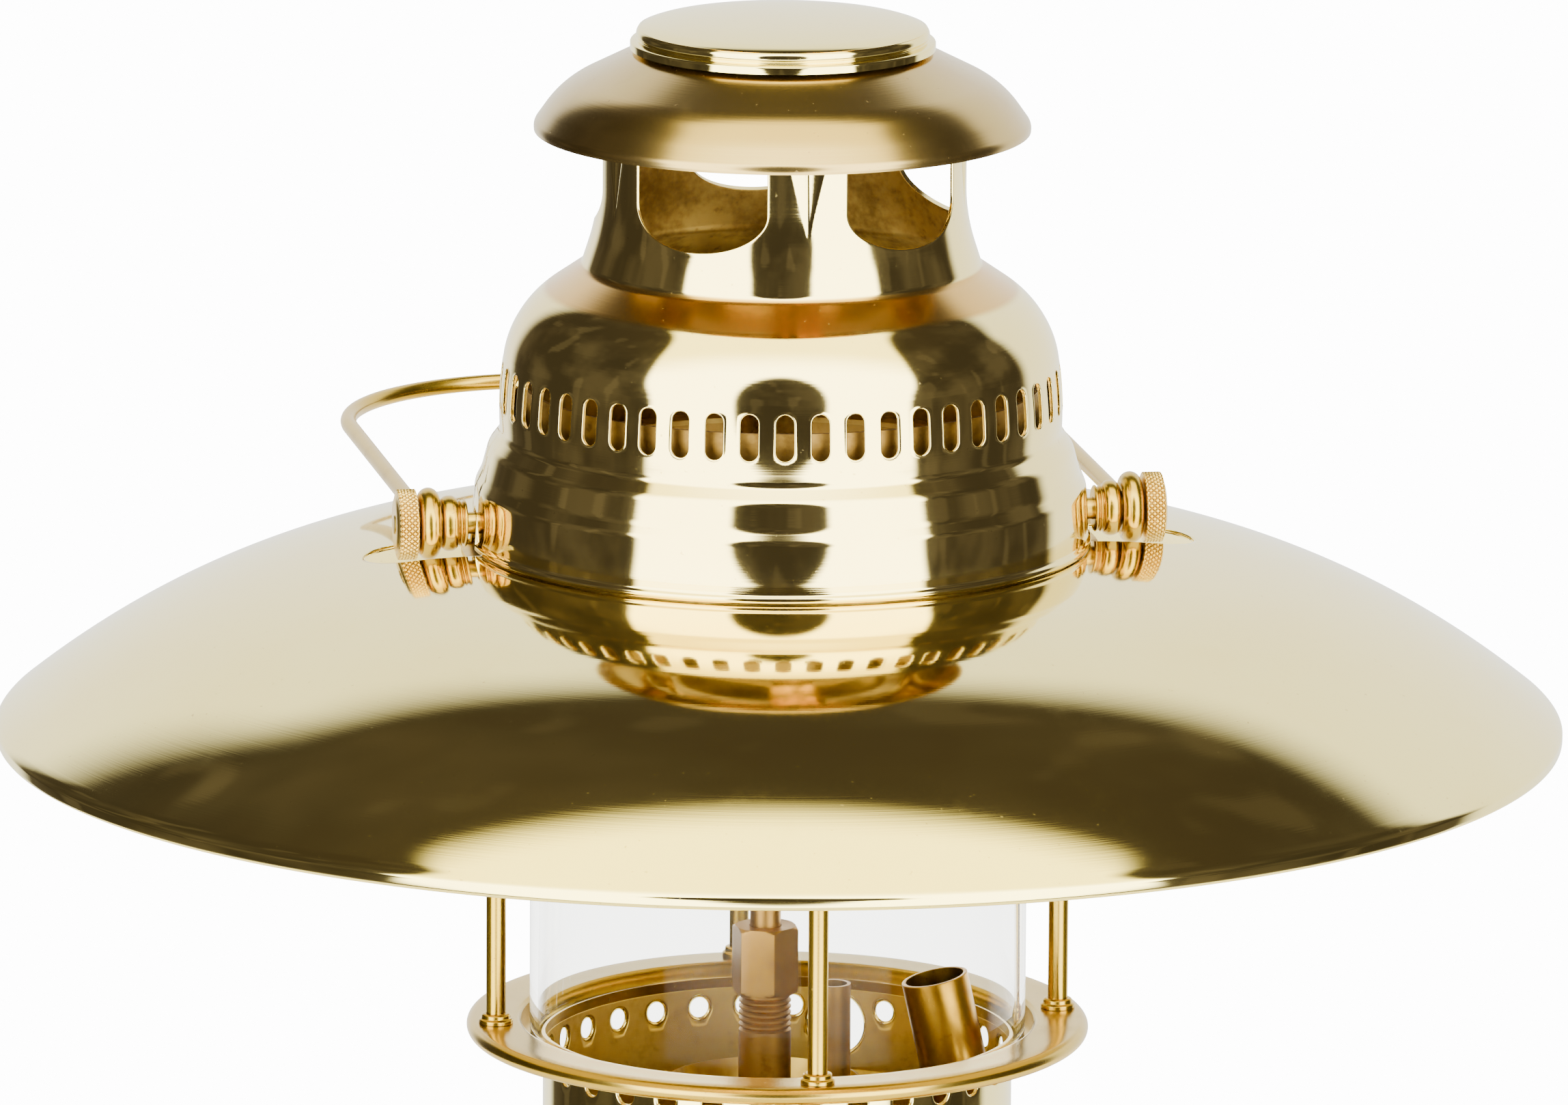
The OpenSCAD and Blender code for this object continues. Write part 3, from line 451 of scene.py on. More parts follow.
def tidyMesh(mesh, sharp):
    work = bmesh.new()
    work.from_mesh(mesh)
    bmesh.ops.remove_doubles(work, verts=work.verts, dist=0.002 * mm)
    bmesh.ops.recalc_face_normals(work, faces=work.faces)
    work.to_mesh(mesh)
    work.free()
    mesh.polygons.foreach_set("use_smooth", [True] * len(mesh.polygons))
    mesh.set_sharp_from_angle(angle=math.radians(sharp))


# A sheet that a path turns into: radius and outward normal at a height
class Sheet:
    def __init__(self, path, press=None):
        path = sorted(path, key=lambda p: p[1])
        self.heights = np.array([p[1] for p in path])
        self.radii = np.array([p[0] for p in path])
        self.press = press

    def radius(self, z):
        return float(np.interp(z, self.heights, self.radii))

    def point(self, turn, z, out=0.0):  # turn in degrees
        r = self.radius(z)
        step = 0.25
        slope = (self.radius(z + step) - self.radius(z - step)) / (2 * step)
        if z + step > self.heights[-1] or z - step < self.heights[0]:
            slope = 0.0
        if self.press:
            out += self.press(turn, z, r)
        length = math.hypot(1, slope)
        a = math.radians(turn)
        reach = r + out / length
        return (reach * math.cos(a), reach * math.sin(a), z - out * slope / length)

    def rows(self, low, high):
        inner = [h for h in self.heights if low + 0.02 < h < high - 0.02]
        return [low, *inner, high]


# Plain rows of a sheet between two heights. start(turn) can raise the lowest row
def sheetRows(solid, sheet, turns, low, high, start=None):
    rows = sheet.rows(low, high)
    points, faces = [], []
    count = len(turns)
    for z in rows:
        for turn in turns:
            h = z
            if start:
                floor = start(turn)
                h = floor + (z - low) * (high - floor) / (high - low)
            points.append(sheet.point(turn, h))
    for i in range(len(rows) - 1):
        for k in range(count):
            n = (k + 1) % count
            faces.append((i * count + k, i * count + n, (i + 1) * count + n,
                          (i + 1) * count + k))
    solid.add(points, faces)


def reachOut(inside, dx, dz, grow):  # how far a ray from the hole's middle stays inside
    low, high = 0.0, 80.0
    for _ in range(26):
        middle = (low + high) / 2
        if inside(dx * middle, dz * middle, grow):
            low = middle
        else:
            high = middle
    return low


# One cell of a sheet round a hole with a rolled lip: turn and height are the hole's middle
def holeCell(solid, sheet, edges, low, high, columns, sideRows, hole):
    left, right = edges
    turn, middle = hole["turn"], hole["height"]
    scale = math.radians(1) * sheet.radius(middle)
    across = [left + (right - left) * k / columns for k in range(columns + 1)]
    up = [low + (high - low) * k / sideRows for k in range(sideRows + 1)]
    border = ([(a, low) for a in across] + [(right, h) for h in up[1:]]
              + [(a, high) for a in across[-2::-1]] + [(left, h) for h in up[-2:0:-1]])
    rings = []
    lip = hole["lip"]
    outlines = {}
    for grow, _ in lip:
        ring = []
        for a, h in border:
            dx, dz = (a - turn) * scale, h - middle
            size = math.hypot(dx, dz)
            reach = reachOut(hole["inside"], dx / size, dz / size, grow)
            ring.append((turn + dx / size * reach / scale, middle + dz / size * reach))
        outlines[grow] = ring
    first = outlines[lip[0][0]]
    for t in np.linspace(0, 1, hole["rings"] + 1)[:-1]:
        rings.append([sheet.point(a + (b[0] - a) * t, h + (b[1] - h) * t)
                      for (a, h), b in zip(border, first)])
    for grow, out in lip:
        rings.append([sheet.point(a, h, out) for a, h in outlines[grow]])
    count = len(border)
    points = [p for ring in rings for p in ring]
    faces = [(i * count + k, i * count + (k + 1) % count, (i + 1) * count + (k + 1) % count,
              (i + 1) * count + k) for i in range(len(rings) - 1) for k in range(count)]
    solid.add(points, faces)


def plainCell(solid, sheet, edges, low, high, columns, sideRows):
    left, right = edges
    points, faces = [], []
    for i in range(sideRows + 1):
        for k in range(columns + 1):
            points.append(sheet.point(left + (right - left) * k / columns,
                                      low + (high - low) * i / sideRows))
    wide = columns + 1
    for i in range(sideRows):
        for k in range(columns):
            faces.append((i * wide + k, i * wide + k + 1, (i + 1) * wide + k + 1,
                          (i + 1) * wide + k))
    solid.add(points, faces)


def thicken(made, wall, lining=0):  # lining: 1 gives the inner face the second finish
    change = made.modifiers.new("wall", "SOLIDIFY")
    change.thickness = wall * mm
    change.offset = -1.0
    change.use_quality_normals = True
    change.material_offset = lining


def stadium(width, height):
    def inside(x, z, grow):
        half = width / 2 + grow
        straight = max(abs(z) - (height - width) / 2, 0)
        return math.hypot(x, straight) <= half
    return inside


def circle(size):
    return lambda x, z, grow: math.hypot(x, z) <= size / 2 + grow


# ---- hood: a spun bell with a ring of slots and five tall vents
hood = {"rim": 288.3, "radius": 62.3, "neck": 36.8, "height": 94.3, "wall": 0.8,
        "slots": 50, "slotWidth": 3.5, "slotHeight": 9.2, "slotAt": 32.0,
        "vents": 5, "ventWidth": 30.0, "ventLow": 64.7, "ventRound": 8.0, "ventTop": 91.7,
        "grooveLow": 68.8, "grooveFlare": 0.27, "grooveHalf": 4.6, "grooveDepth": 0.3,
        "studGap": 3.1, "studAt": 4.7}


def hoodPath():
    edge, neck, top = hood["radius"], hood["neck"], hood["height"]
    return rounded([(neck, top, 0), (neck, 66.4, 6), (neck + 3.3, 56.2, 1.2),
                    (edge - 11.7, 49, 5), (edge - 7.4, 41.4, 3.5), (edge - 5.75, 31.5, 7),
                    (edge - 6, 22.4, 0.9),
                    (edge - 3.7, 19.4, 0.9), (edge - 2.3, 14.2, 0.7), (edge - 1.1, 11.8, 0.7),
                    (edge - 0.55, 6.6, 3.5), (edge - 0.6, 1.6, 0.4), (edge, 1, 0.3), (edge, 0, 0)], 12)


def hoodPress(turn, z, r):  # the pillars between the vents have a pressed groove
    share = 360 / hood["vents"]
    off = (turn - 90 + share / 2) % share
    off = min(off, share - off)
    half = min((z - hood["grooveLow"]) * hood["grooveFlare"], hood["grooveHalf"])
    across = math.radians(off) * r
    if across >= half:
        return 0.0
    return -hood["grooveDepth"] * half * (1 - across / half) ** 1.2


def makeHood():
    path = [(r, z + hood["rim"]) for r, z in hoodPath()]
    low = hood["rim"]
    slotLow, slotHigh = low + 25.6, low + 38.3  # the heights between which the cells stand
    ventLow, ventHigh = low + 62.9, low + 93.0
    sheet = Sheet(path, lambda turn, z, r: hoodPress(turn, z - low, r))
    turns = [0.9 * k for k in range(400)]
    solid = Solid()

    def studGap(turn):
        off = abs((turn + 90) % 180 - 90)
        across = math.radians(off) * 61.4  # the skirt's radius at the stud
        gap = hood["studGap"]
        return low if across > gap else low + hood["studAt"] + math.sqrt(gap ** 2 - across ** 2)

    sheetRows(solid, sheet, turns, low, slotLow, studGap)
    lip = [(0.5, 0.0), (0.34, 0.03), (0.2, 0.05), (0.08, 0.0), (0.0, -0.14)]
    share = 360 / hood["slots"]
    for k in range(hood["slots"]):
        hole = {"turn": share * (k + 0.5), "height": low + hood["slotAt"], "rings": 4, "lip": lip,
                "inside": stadium(hood["slotWidth"], hood["slotHeight"])}
        holeCell(solid, sheet, (share * k, share * (k + 1)), slotLow, slotHigh, 8, 14, hole)
    sheetRows(solid, sheet, turns, slotHigh, ventLow)

    def vent(x, z, grow):
        z += (hood["ventLow"] + hood["ventTop"]) / 2  # from the vent's middle to the hood's rim
        half, bowl = hood["ventWidth"] / 2 + grow, hood["ventRound"] + grow
        middle = hood["ventLow"] + hood["ventRound"]
        if z > hood["ventTop"] + grow or abs(x) > half:
            return False
        return z > middle or (x / half) ** 2 + ((z - middle) / bowl) ** 2 <= 1

    ventLip = [(0.7, 0.0), (0.35, 0.0), (0.12, -0.02), (0.0, -0.10)]
    middle = (hood["ventLow"] + hood["ventTop"]) / 2
    for k in range(hood["vents"]):
        turn = 90 + 72 * k
        hole = {"turn": turn, "height": low + middle, "rings": 22, "lip": ventLip, "inside": vent}
        holeCell(solid, sheet, (turn - 36, turn + 36), ventLow, ventHigh, 80, 34, hole)
    sheetRows(solid, sheet, turns, ventHigh, low + hood["height"])
    made = solid.build("hood_shell", [hoodBrass, inside], "hood", ["hood"], "polished_brass", 50)
    thicken(made, hood["wall"], 1)


makeHood()
print("hood made")

# ---- cap and its disc
cap = {"height": 383.0, "radius": 49.7, "disc": 29.3, "wall": 0.8}


def shellSection(path, wall):  # a path and the same path set in by the wall, as one outline
    line = [Vector(p) for p in path]
    back = []
    for i, p in enumerate(line):
        along = line[min(i + 1, len(line) - 1)] - line[max(i - 1, 0)]
        side = Vector((along.y, -along.x)).normalized()
        back.append((max((p + side * wall).x, 0), (p + side * wall).y))
    return [tuple(p) for p in line] + back[::-1]


def makeCap():
    edge, disc = cap["radius"], cap["disc"]
    path = rounded([(0, 5.2, 0), (disc - 0.3, 5.2, 3), (edge - 5.1, -2.7, 5),
                    (edge, -9.9, 0.9), (edge - 0.1, -11.2, 0)], 24)
    Solid().lathe(shellSection(lifted(path, cap["height"]), cap["wall"]), 360).build(
        "cap_shell", capBrass, "hood", ["cap"], "polished_brass", 40)
    base = cap["height"] + 5.3
    face = rounded([(0, 6.8, 0), (disc - 19, 6.6, 6), (disc - 9, 5.9, 4), (disc - 2.3, 4.9, 2),
                    (disc, 3.9, 1.1), (disc, 2.5, 0.4), (disc - 0.5, 1.9, 0.35),
                    (disc + 1.2, 1.5, 0.4), (disc + 1.2, 0, 0), (0, 0, 0)], 8)
    Solid().lathe(lifted(face, base), 360).build(
        "cap_top_disc", brass, "hood", ["cap_disc"], "polished_brass", 50)


makeCap()
print("cap made")

# ---- reflector shade: one wide spun dish with a keyhole at each stud
shade = {"radius": 157.3, "hole": 60.8, "top": 288.0, "drop": 35.4, "rim": 3.9, "wall": 0.8,
         "level": 0.535, "notch": 16.5, "notchReach": 84.0}


def makeShade():
    edge, hole, top = shade["radius"], shade["hole"], shade["top"]
    turn = (edge - 1.3, top - shade["drop"])
    middle = hole + shade["level"] * (edge - hole)
    dish = bend((hole, top), (middle, top), turn, 90)
    low = turn[1] - shade["rim"]
    rim = bend(turn, (edge + 0.05, turn[1] - 1.3), (edge, low + 2.0), 10)[1:]
    rim += bend((edge, low + 0.9), (edge, low + 0.1), (edge - 0.6, low), 6)
    path = dish + rim
    half, notchEnd = shade["notch"] / 2, shade["notchReach"] - shade["notch"] / 2
    edgeTurn = math.degrees(math.asin(half / notchEnd))

    def start(angle):
        off = abs((angle + 90) % 180 - 90)
        a = math.radians(off)
        if off <= edgeTurn:
            return notchEnd * math.cos(a) + math.sqrt(max(half ** 2 - (notchEnd * math.sin(a)) ** 2, 0))
        return max(hole, half / math.sin(a))

    near = [-12 + 0.25 * k for k in range(97)]
    turns = near + [12 + 1.0 * k for k in range(1, 156)]
    turns += [a + 180 for a in near] + [192 + 1.0 * k for k in range(1, 156)]
    radii = [p[0] for p in dish]
    heights = [p[1] for p in dish]
    split = 96.0  # inside it the rows bend round the keyholes
    points = []
    inner = [hole + (split - hole) * k / 20 for k in range(20)]
    outer = [p for p in path if p[0] >= split or p[1] < turn[1]]
    for r0 in inner:
        t = (r0 - hole) / (split - hole)
        for angle in turns:
            s = start(angle)
            r = s + (split - s) * t
            z = float(np.interp(r, radii, heights))
            a = math.radians(angle)
            points.append((r * math.cos(a), r * math.sin(a), z))
    for r, z in [(split, float(np.interp(split, radii, heights)))] + outer:
        points += [(r * math.cos(math.radians(a)), r * math.sin(math.radians(a)), z)
                   for a in turns]
    rowCount, count = len(points) // len(turns), len(turns)
    faces = [(i * count + k, i * count + (k + 1) % count, (i + 1) * count + (k + 1) % count,
              (i + 1) * count + k) for i in range(rowCount - 1) for k in range(count)]
    solid = Solid()
    solid.add(points, faces)
    made = solid.build("reflector_shade", [brass], "frame", ["reflector"], "polished_brass", 60)
    thicken(made, shade["wall"])
    return made


makeShade()
print("shade made")

# ---- studs, their turned collars, nuts and bail
stud = {"height": 293.0, "pin": 2.2, "reach": 78.0, "nutAt": 73.45, "nut": 14.2,
        "nutThick": 4.0, "diamonds": 40, "pitch": 1.2, "knurl": 0.42}
knurl = knurledBrass("knurled_brass", (0.85, 0.60, 0.14), (0.30, 0.17, 0.03), 0.26)


def makeStuds():
    pin, reach, z = stud["pin"], stud["reach"], stud["height"]
    shaft = rounded([(0, 58.2, 0), (pin, 58.2, 0), (pin, reach - 0.5, 0.4),
                     (pin - 0.4, reach, 0.2), (0, reach, 0)], 4)
    head = rounded([(0, 55.6, 0), (3.3, 55.6, 0), (3.7, 56, 0.3), (3.7, 58, 0), (0, 58, 0)], 4)
    solid = Solid()
    for side in (-1, 1):
        solid.lathe(shaft, 64, matrix=alongX(side, z))
        solid.lathe(head, 64, matrix=alongX(side, z))
    solid.build("stud_pins", nutBrass, "frame", ["studs"], "satin_brass")
    outline = [(2.3, 63.4, 0), (4.4, 63.4, 0.3), (4.8, 63.8, 0.3), (4.4, 64.2, 0.2),
               (4.1, 64.35, 0.15), (4.9, 64.75, 0.35), (4.2, 65.15, 0.2), (4.9, 65.35, 0.3),
               (5.6, 66.0, 0.6), (5.6, 67.7, 0.7), (4.9, 68.55, 0.4), (2.92, 68.55, 0),
               (2.92, 73.3, 0), (2.3, 73.3, 0)]
    solid = Solid()
    for side in (-1, 1):
        solid.lathe(rounded(outline, 5), 120, matrix=alongX(side, z))
    solid.build("stud_collars_turned", brassRod, "frame", ["stud_collars"], "polished_brass", 40)
    half, x, thick = stud["nut"] / 2, stud["nutAt"], stud["nutThick"]
    deep = stud["knurl"]
    rings = [(x, half - 0.8, 0.0), (x + 0.12, half - 0.3, 0.0)]
    rings += [(x + 0.25 + (thick - 0.5) * k / 30, half, deep) for k in range(31)]
    rings += [(x + thick - 0.12, half - 0.3, 0.0), (x + thick, half - 0.8, 0.0),
              (x + thick + 0.1, half - 1.5, 0.0), (x + thick + 0.3, half - 1.8, 0.0),
              (x + thick + 0.3, 2.5, 0.0)]
    for side, name in ((-1, "left"), (1, "right")):
        Solid().knurled(rings, stud["diamonds"], stud["pitch"], 420, alongX(side, z)).build(
            "nut_" + name + "_knurled", knurl, "nut_" + name, ["knurled_nut_" + name],
            "satin_brass", 50)


makeStuds()

# the lean turns the bail a little about the lantern's axis
bail = {"half": 71.0, "reach": 142.0, "corner": 42.0, "wire": 3.3, "eye": 5.15, "eyeWire": 4.3,
        "lean": 2.6}


def makeBail():
    z, half, reach, corner = stud["height"], bail["half"], bail["reach"], bail["corner"]
    lean = Matrix.Rotation(math.radians(bail["lean"]), 4, "Z")
    shift = half * math.sin(math.radians(bail["lean"]))
    solid = Solid()
    line = [(-half, y, z) for y in np.linspace(bail["eye"] + shift, reach - corner, 24)]
    line += [(-half + corner - corner * math.cos(a), reach - corner + corner * math.sin(a), z)
             for a in np.linspace(0, math.pi / 2, 30)[1:]]
    line += [(x, reach, z) for x in np.linspace(-half + corner, half - corner, 16)[1:]]
    line += [(half - corner + corner * math.sin(a), reach - corner + corner * math.cos(a), z)
             for a in np.linspace(0, math.pi / 2, 30)[1:]]
    line += [(half, y, z) for y in np.linspace(reach - corner, bail["eye"] - shift, 24)[1:]]
    solid.wire(line, bail["wire"] / 2, 28, matrix=lean)
    for side in (-1, 1):
        ring = [(side * half, bail["eye"] * math.cos(a), z + bail["eye"] * math.sin(a))
                for a in np.linspace(0, 2 * math.pi, 72, endpoint=False)]
        solid.wire(ring, bail["eyeWire"] / 2, 32, True)
    solid.build("bail_wire", brassRod, "bail", ["bail"], "polished_brass", 40)


makeBail()
print("studs, nuts and bail made")

# ---- gallery, collar, frame
gallery = {"top": 190.0, "radius": 62.7, "lip": 1.7, "inner": 51.7, "seat": 187.0,
           "collar": 47.3, "collarLow": 130.3, "collarWall": 0.9, "holeAt": 182.3,
           "holes": 30, "hole": 4.0, "lightHole": 12.0, "lightTurn": 67.0,
           "lightCell": (58.6, 74.8)}


def makeGallery():
    top, lip, inner = gallery["top"], gallery["lip"], gallery["inner"]
    edge, seat = gallery["radius"] - lip, gallery["seat"]
    outline = rounded([(inner, top - 0.6, 0), (inner + 0.6, top, 0.5), (edge - 5, top, 2),
                       (edge - 1.5, top + 0.05, 0.8), (edge, top, 0)], 5)[:-1]
    outline += [(edge + lip * math.cos(a), top - lip + lip * math.sin(a))
                for a in np.radians(np.linspace(90, -90, 22))]
    outline += rounded([(edge, top - 2.6, 0), (edge - 0.4, top - 1.5, 0.2),
                        (inner + 0.9, top - 0.9, 0.4), (inner + 0.9, seat - 1, 0),
                        (46.4, seat - 1, 0), (46.4, seat + 1, 0), (47.1, seat + 1, 0.2),
                        (47.3, seat, 0.2), (inner, seat, 0)], 3)
    Solid().lathe(outline, 360).build("gallery_plate", plateBrass, "frame", ["gallery_ring"],
                                      "polished_brass", 40)


makeGallery()


def makeCollar():
    low, top = gallery["collarLow"], 186.0
    radius = gallery["collar"]
    sheet = Sheet([(radius, low)] + [(radius, h) for h in np.linspace(low + 2, top - 2, 24)]
                  + [(radius, top)])
    solid = Solid()
    lip = [(0.6, 0.0), (0.4, -0.04), (0.2, -0.16), (0.07, -0.36), (0.0, -0.6)]
    upper = []
    lightLeft, lightRight = gallery["lightCell"]
    share = 360 / gallery["holes"]
    for k in range(gallery["holes"]):
        left, right = share * k, share * (k + 1)
        if left < gallery["lightTurn"] < right:  # the lighting hole takes this one's place
            upper.append((lightLeft, lightRight, 24, {"turn": gallery["lightTurn"], "height": 179.0,
                                                      "inside": circle(gallery["lightHole"])}))
            continue
        middle = (left + right) / 2
        if left < lightLeft < right:
            right = lightLeft
        if left < lightRight < right:
            left = lightRight
        upper.append((left, right, 12, {"turn": middle, "height": gallery["holeAt"],
                                        "inside": circle(gallery["hole"])}))
    lowCells = [(-15, 15, 30, {"turn": 0.0, "height": 160.0, "inside": circle(9.4)}),
                (15, 75, 48, None), (75, 255, 150, None),
                (255, 285, 30, {"turn": 270.0, "height": 152.0, "inside": circle(9.0)}),
                (285, 345, 48, None)]

    def band(cells, zLow, zHigh, sideRows):
        turns = []
        for left, right, columns, hole in cells:
            turns += [left + (right - left) * k / columns for k in range(columns)]
            if hole:
                holeCell(solid, sheet, (left, right), zLow, zHigh, columns, sideRows,
                         {**hole, "rings": 6, "lip": lip})
            else:
                plainCell(solid, sheet, (left, right), zLow, zHigh, columns, sideRows)
        return turns

    lowTurns = band(lowCells, 144.0, 168.0, 24)
    highTurns = band(upper, 171.4, 185.8, 15)
    sheetRows(solid, sheet, lowTurns, low, 144.0)
    sheetRows(solid, sheet, lowTurns, 168.0, 170.0)
    sheetRows(solid, sheet, highTurns, 170.0, 171.4)
    sheetRows(solid, sheet, highTurns, 185.8, top)
    made = solid.build("collar_wall", [brass, collarBrass], "frame", ["collar"], "polished_brass", 40)
    thicken(made, gallery["collarWall"], 1)
    foot = rounded([(47.3, 130.3, 0), (50.5, 130.3, 0.2), (50.9, 130.9, 0.5), (50.5, 131.5, 0.3),
                    (48.3, 131.5, 0.6), (47.3, 132.6, 0)], 5)
    Solid().lathe(foot, 300).build("collar_foot", brass, "frame", None, "polished_brass")


makeCollar()


post = {"radius": 2.0, "circle": 57.2, "low": 190.1, "high": 280.9}


def makeFrame():
    r, low, high = post["radius"], post["low"], post["high"]
    rod = [(0, low), (r, low)] + [(r, z) for z in np.linspace(196, 276, 9)] + [(r, high), (0, high)]
    flange = rounded([(2.05, 190.1, 0), (3.45, 190.1, 0), (3.45, 190.9, 0.25), (2.95, 191.1, 0.2),
                      (2.9, 191.9, 0.25), (2.5, 192.1, 0.2), (2.05, 192.1, 0)], 4)
    posts, flanges = Solid(), Solid()
    for turn in (0, 90, 180, 270):
        matrix = (Matrix.Rotation(math.radians(turn), 4, "Z")
                  @ Matrix.Translation((post["circle"], 0, 0)))
        posts.lathe(rod, 48, matrix=matrix)
        flanges.lathe(flange, 48, matrix=matrix)
    posts.build("frame_posts", brassRod, "frame", ["posts"], "polished_brass")
    flanges.build("post_feet", brassRod, "frame", ["post_flanges"], "polished_brass")


makeFrame()
print("gallery, collar and posts made")

# ---- glass: a plain cylinder with fire-rounded ends
chimney = {"radius": 50.0, "halfWall": 1.1, "low": 187.1, "high": 287.1}


def makeGlass():
    half = chimney["halfWall"]
    r = chimney["radius"] - half
    outline = []
    for z, start in ((chimney["low"] + half, 180), (chimney["high"] - half, 0)):
        outline += [(r + half * math.cos(a), z + half * math.sin(a))
                    for a in np.radians(np.linspace(start, start + 180, 13))]
    Solid().lathe(outline, 300).build("glass_chimney", glass, "frame", ["glass_cylinder"],
                                      "clear_glass", 60)


makeGlass()

# ---- burner pieces that show through the glass
burner = {"y": 18.0, "bush": 5.3, "bushTop": 191.5, "thread": 0.55, "nutHeight": 13.5,
          "nutFlat": 12.0, "bore": 1.6, "tube": 3.15, "tubeTop": 288.0, "cup": 19.0,
          "cupWall": 0.8}


def makeBurner():
    place = Matrix.Translation((0, burner["y"], 0))
    bore, pipe, end = burner["bore"], burner["tube"], burner["tubeTop"]
    tube = rounded([(bore, 193.1, 0), (pipe, 193.1, 0), (pipe, end - 0.6, 0.3),
                    (pipe - 0.45, end, 0.2), (bore, end, 0)], 3)
    Solid().lathe(tube, 64, matrix=place).build("vaporiser_pipe", bronze, "frame",
                                                ["vaporiser_tube"], "bronze")
    count, flat, top = 144, burner["nutFlat"] / 2, burner["bushTop"] + burner["nutHeight"]
    low = burner["bushTop"]
    rings = []
    for z in [low, low + 0.25, low + 0.6, low + 1.0, low + 4, low + 9, top - 1.4, top - 1.0,
              top - 0.6, top - 0.3, top]:
        limit = min(flat + 0.15 + (z - low) * 1.6, flat + 0.15 + (top - z) * 1.2)
        ring = []
        for k in range(count):
            a = 2 * math.pi * k / count
            off = (math.degrees(a) + 22) % 60 - 30
            ring.append((min(flat / math.cos(math.radians(off)), limit), a, z))
        rings.append(ring)
    points = [(r * math.cos(a), r * math.sin(a), z) for ring in rings for r, a, z in ring]
    faces = [(i * count + k, i * count + (k + 1) % count, (i + 1) * count + (k + 1) % count,
              (i + 1) * count + k) for i in range(len(rings) - 1) for k in range(count)]
    last = (len(rings) - 1) * count
    base = len(points)
    for r, z in ((3.3, top), (1.65, low)):  # the nut's two holes, over the tube and over its bore
        points += [(r * math.cos(2 * math.pi * k / count), r * math.sin(2 * math.pi * k / count), z)
                   for k in range(count)]
    for k in range(count):
        n = (k + 1) % count
        faces.append((last + k, last + n, base + n, base + k))
        faces.append((n, k, base + count + k, base + count + n))
    solid = Solid()
    solid.add(points, faces, place)
    solid.build("union_nut_hex", bronze, "frame", ["union_nut"], "bronze", 25)
    crest, root = burner["bush"], burner["bush"] - burner["thread"]
    bush = [(bore, 167.4), (crest, 167.4), (crest, 183.6)]
    for k in range(6):
        z = 184.0 + k * 1.2
        bush += [(crest, z), (root, z + 0.45), (crest, z + 0.9)]
    bush += [(crest, 191.3), (bore, 191.3)]
    Solid().lathe(bush, 96, matrix=place).build("vaporiser_bush_threaded", bronze, "frame",
                                                ["vaporiser_bush"], "bronze")
    rim = burner["cup"]
    path = rounded([(rim, 174.0, 0), (rim - 2, 166.4, 3), (5.6, 166.4, 0)], 12)
    Solid().lathe(shellSection(path, -burner["cupWall"]), 128, matrix=place).build(
        "spirit_cup_spun", satin, "frame", ["spirit_cup"], "satin_brass", 50)


makeBurner()


flame = {"foot": (38.4, 0, 168.5), "lean": -12.5, "radius": 6.75, "wall": 0.8, "height": 30.0}


def makeFlame():
    lean = Matrix.Translation(flame["foot"]) @ Matrix.Rotation(math.radians(flame["lean"]), 4, "Y")
    outer, wall, high = flame["radius"], flame["wall"], flame["height"]
    outline = rounded([(outer - wall, 0, 0), (outer, 0, 0), (outer, high - 0.05, 0.12),
                       (outer - wall / 2, high, 0.12), (outer - wall, high - 0.05, 0)], 3)
    Solid().lathe(outline, 128, matrix=lean).build("flame_tube_rolled", flameBrass, "frame",
                                                   ["flame_tube"], "satin_brass")


makeFlame()
print("burner made")

# ---- tank, foot and the fittings on the shoulder
tank = {"radius": 84.0, "floor": 14.0, "shoulder": 96.0, "top": 130.0, "topRadius": 56.0}


def makeTank():
    edge, floor, top = tank["radius"], tank["floor"], tank["top"]
    outline = rounded([(0, floor, 0), (edge - 18, floor, 4), (edge, floor + 20, 18),
                       (edge, tank["shoulder"], 26), (tank["topRadius"], top, 4), (0, top, 0)], 30)
    Solid().lathe(outline, 320, closed=False).build("tank_spun", brass, "frame", ["tank"],
                                                    "polished_brass", 40)
    foot = rounded([(61, 0.4, 0), (61.4, 0, 0.2), (64.0, 0, 0.3), (64.4, 0.6, 0.4),
                    (64.0, 1.2, 0.3), (63.3, 1.6, 0.4), (62.2, 4.8, 1.5), (62.2, 13.7, 0),
                    (61, 13.7, 0)], 5)
    Solid().lathe(foot, 320).build("foot_band", brass, "frame", ["foot_ring"], "polished_brass", 40)


makeTank()

sheetNodes = {
    "upper_ring": satin, "inner_casing": shadedCasingBrass, "heat_deck": inside, "valve_body": bronze,
    "jet": nutBrass, "spirit_filler_tube": bronze, "control_spindle": satin,
    "gland_nut": nutBrass, "mixing_tube": inside, "gas_chamber": inside,
    "ceramic_nozzle": clay, "mantle": mantleCloth, "preheater_body": bronze,
    "preheater_lever": brassRod, "pickup_tube": satin, "pickup_strainer": satin,
    "cleaning_needle": steel, "wheel_screw": steel, "hand_wheel": brassRod,
    "pump_barrel": satin, "pump_cap": brassRod, "pump_rod": steel, "pump_knob": brassRod,
    "pump_piston": satin, "pump_leather": hide, "check_valve": satin,
    "filler_neck": satin, "filler_gasket": rubber, "filler_cap": brassRod,
    "gauge_case": brass, "gauge_glass": glass, "gauge_needle": ink,
    "release_screw": nutBrass}

shoulder = atShoulder(-140)
dialCentre = [c * mm for c in shoulder @ Vector((0, 0, 13.8))]
dialAcross = (shoulder.to_3x3() @ Vector((1, 0, 0))).normalized()
dialNormal = (shoulder.to_3x3() @ Vector((0, 0, 1))).normalized()
sheetNodes["gauge_dial"] = dialFace("dial_face", dialCentre, dialAcross, dialNormal)

for name, finish in sheetNodes.items():
    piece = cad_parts[name]
    piece.data.materials.clear()
    piece.data.materials.append(finish)
print("tank and fittings made")


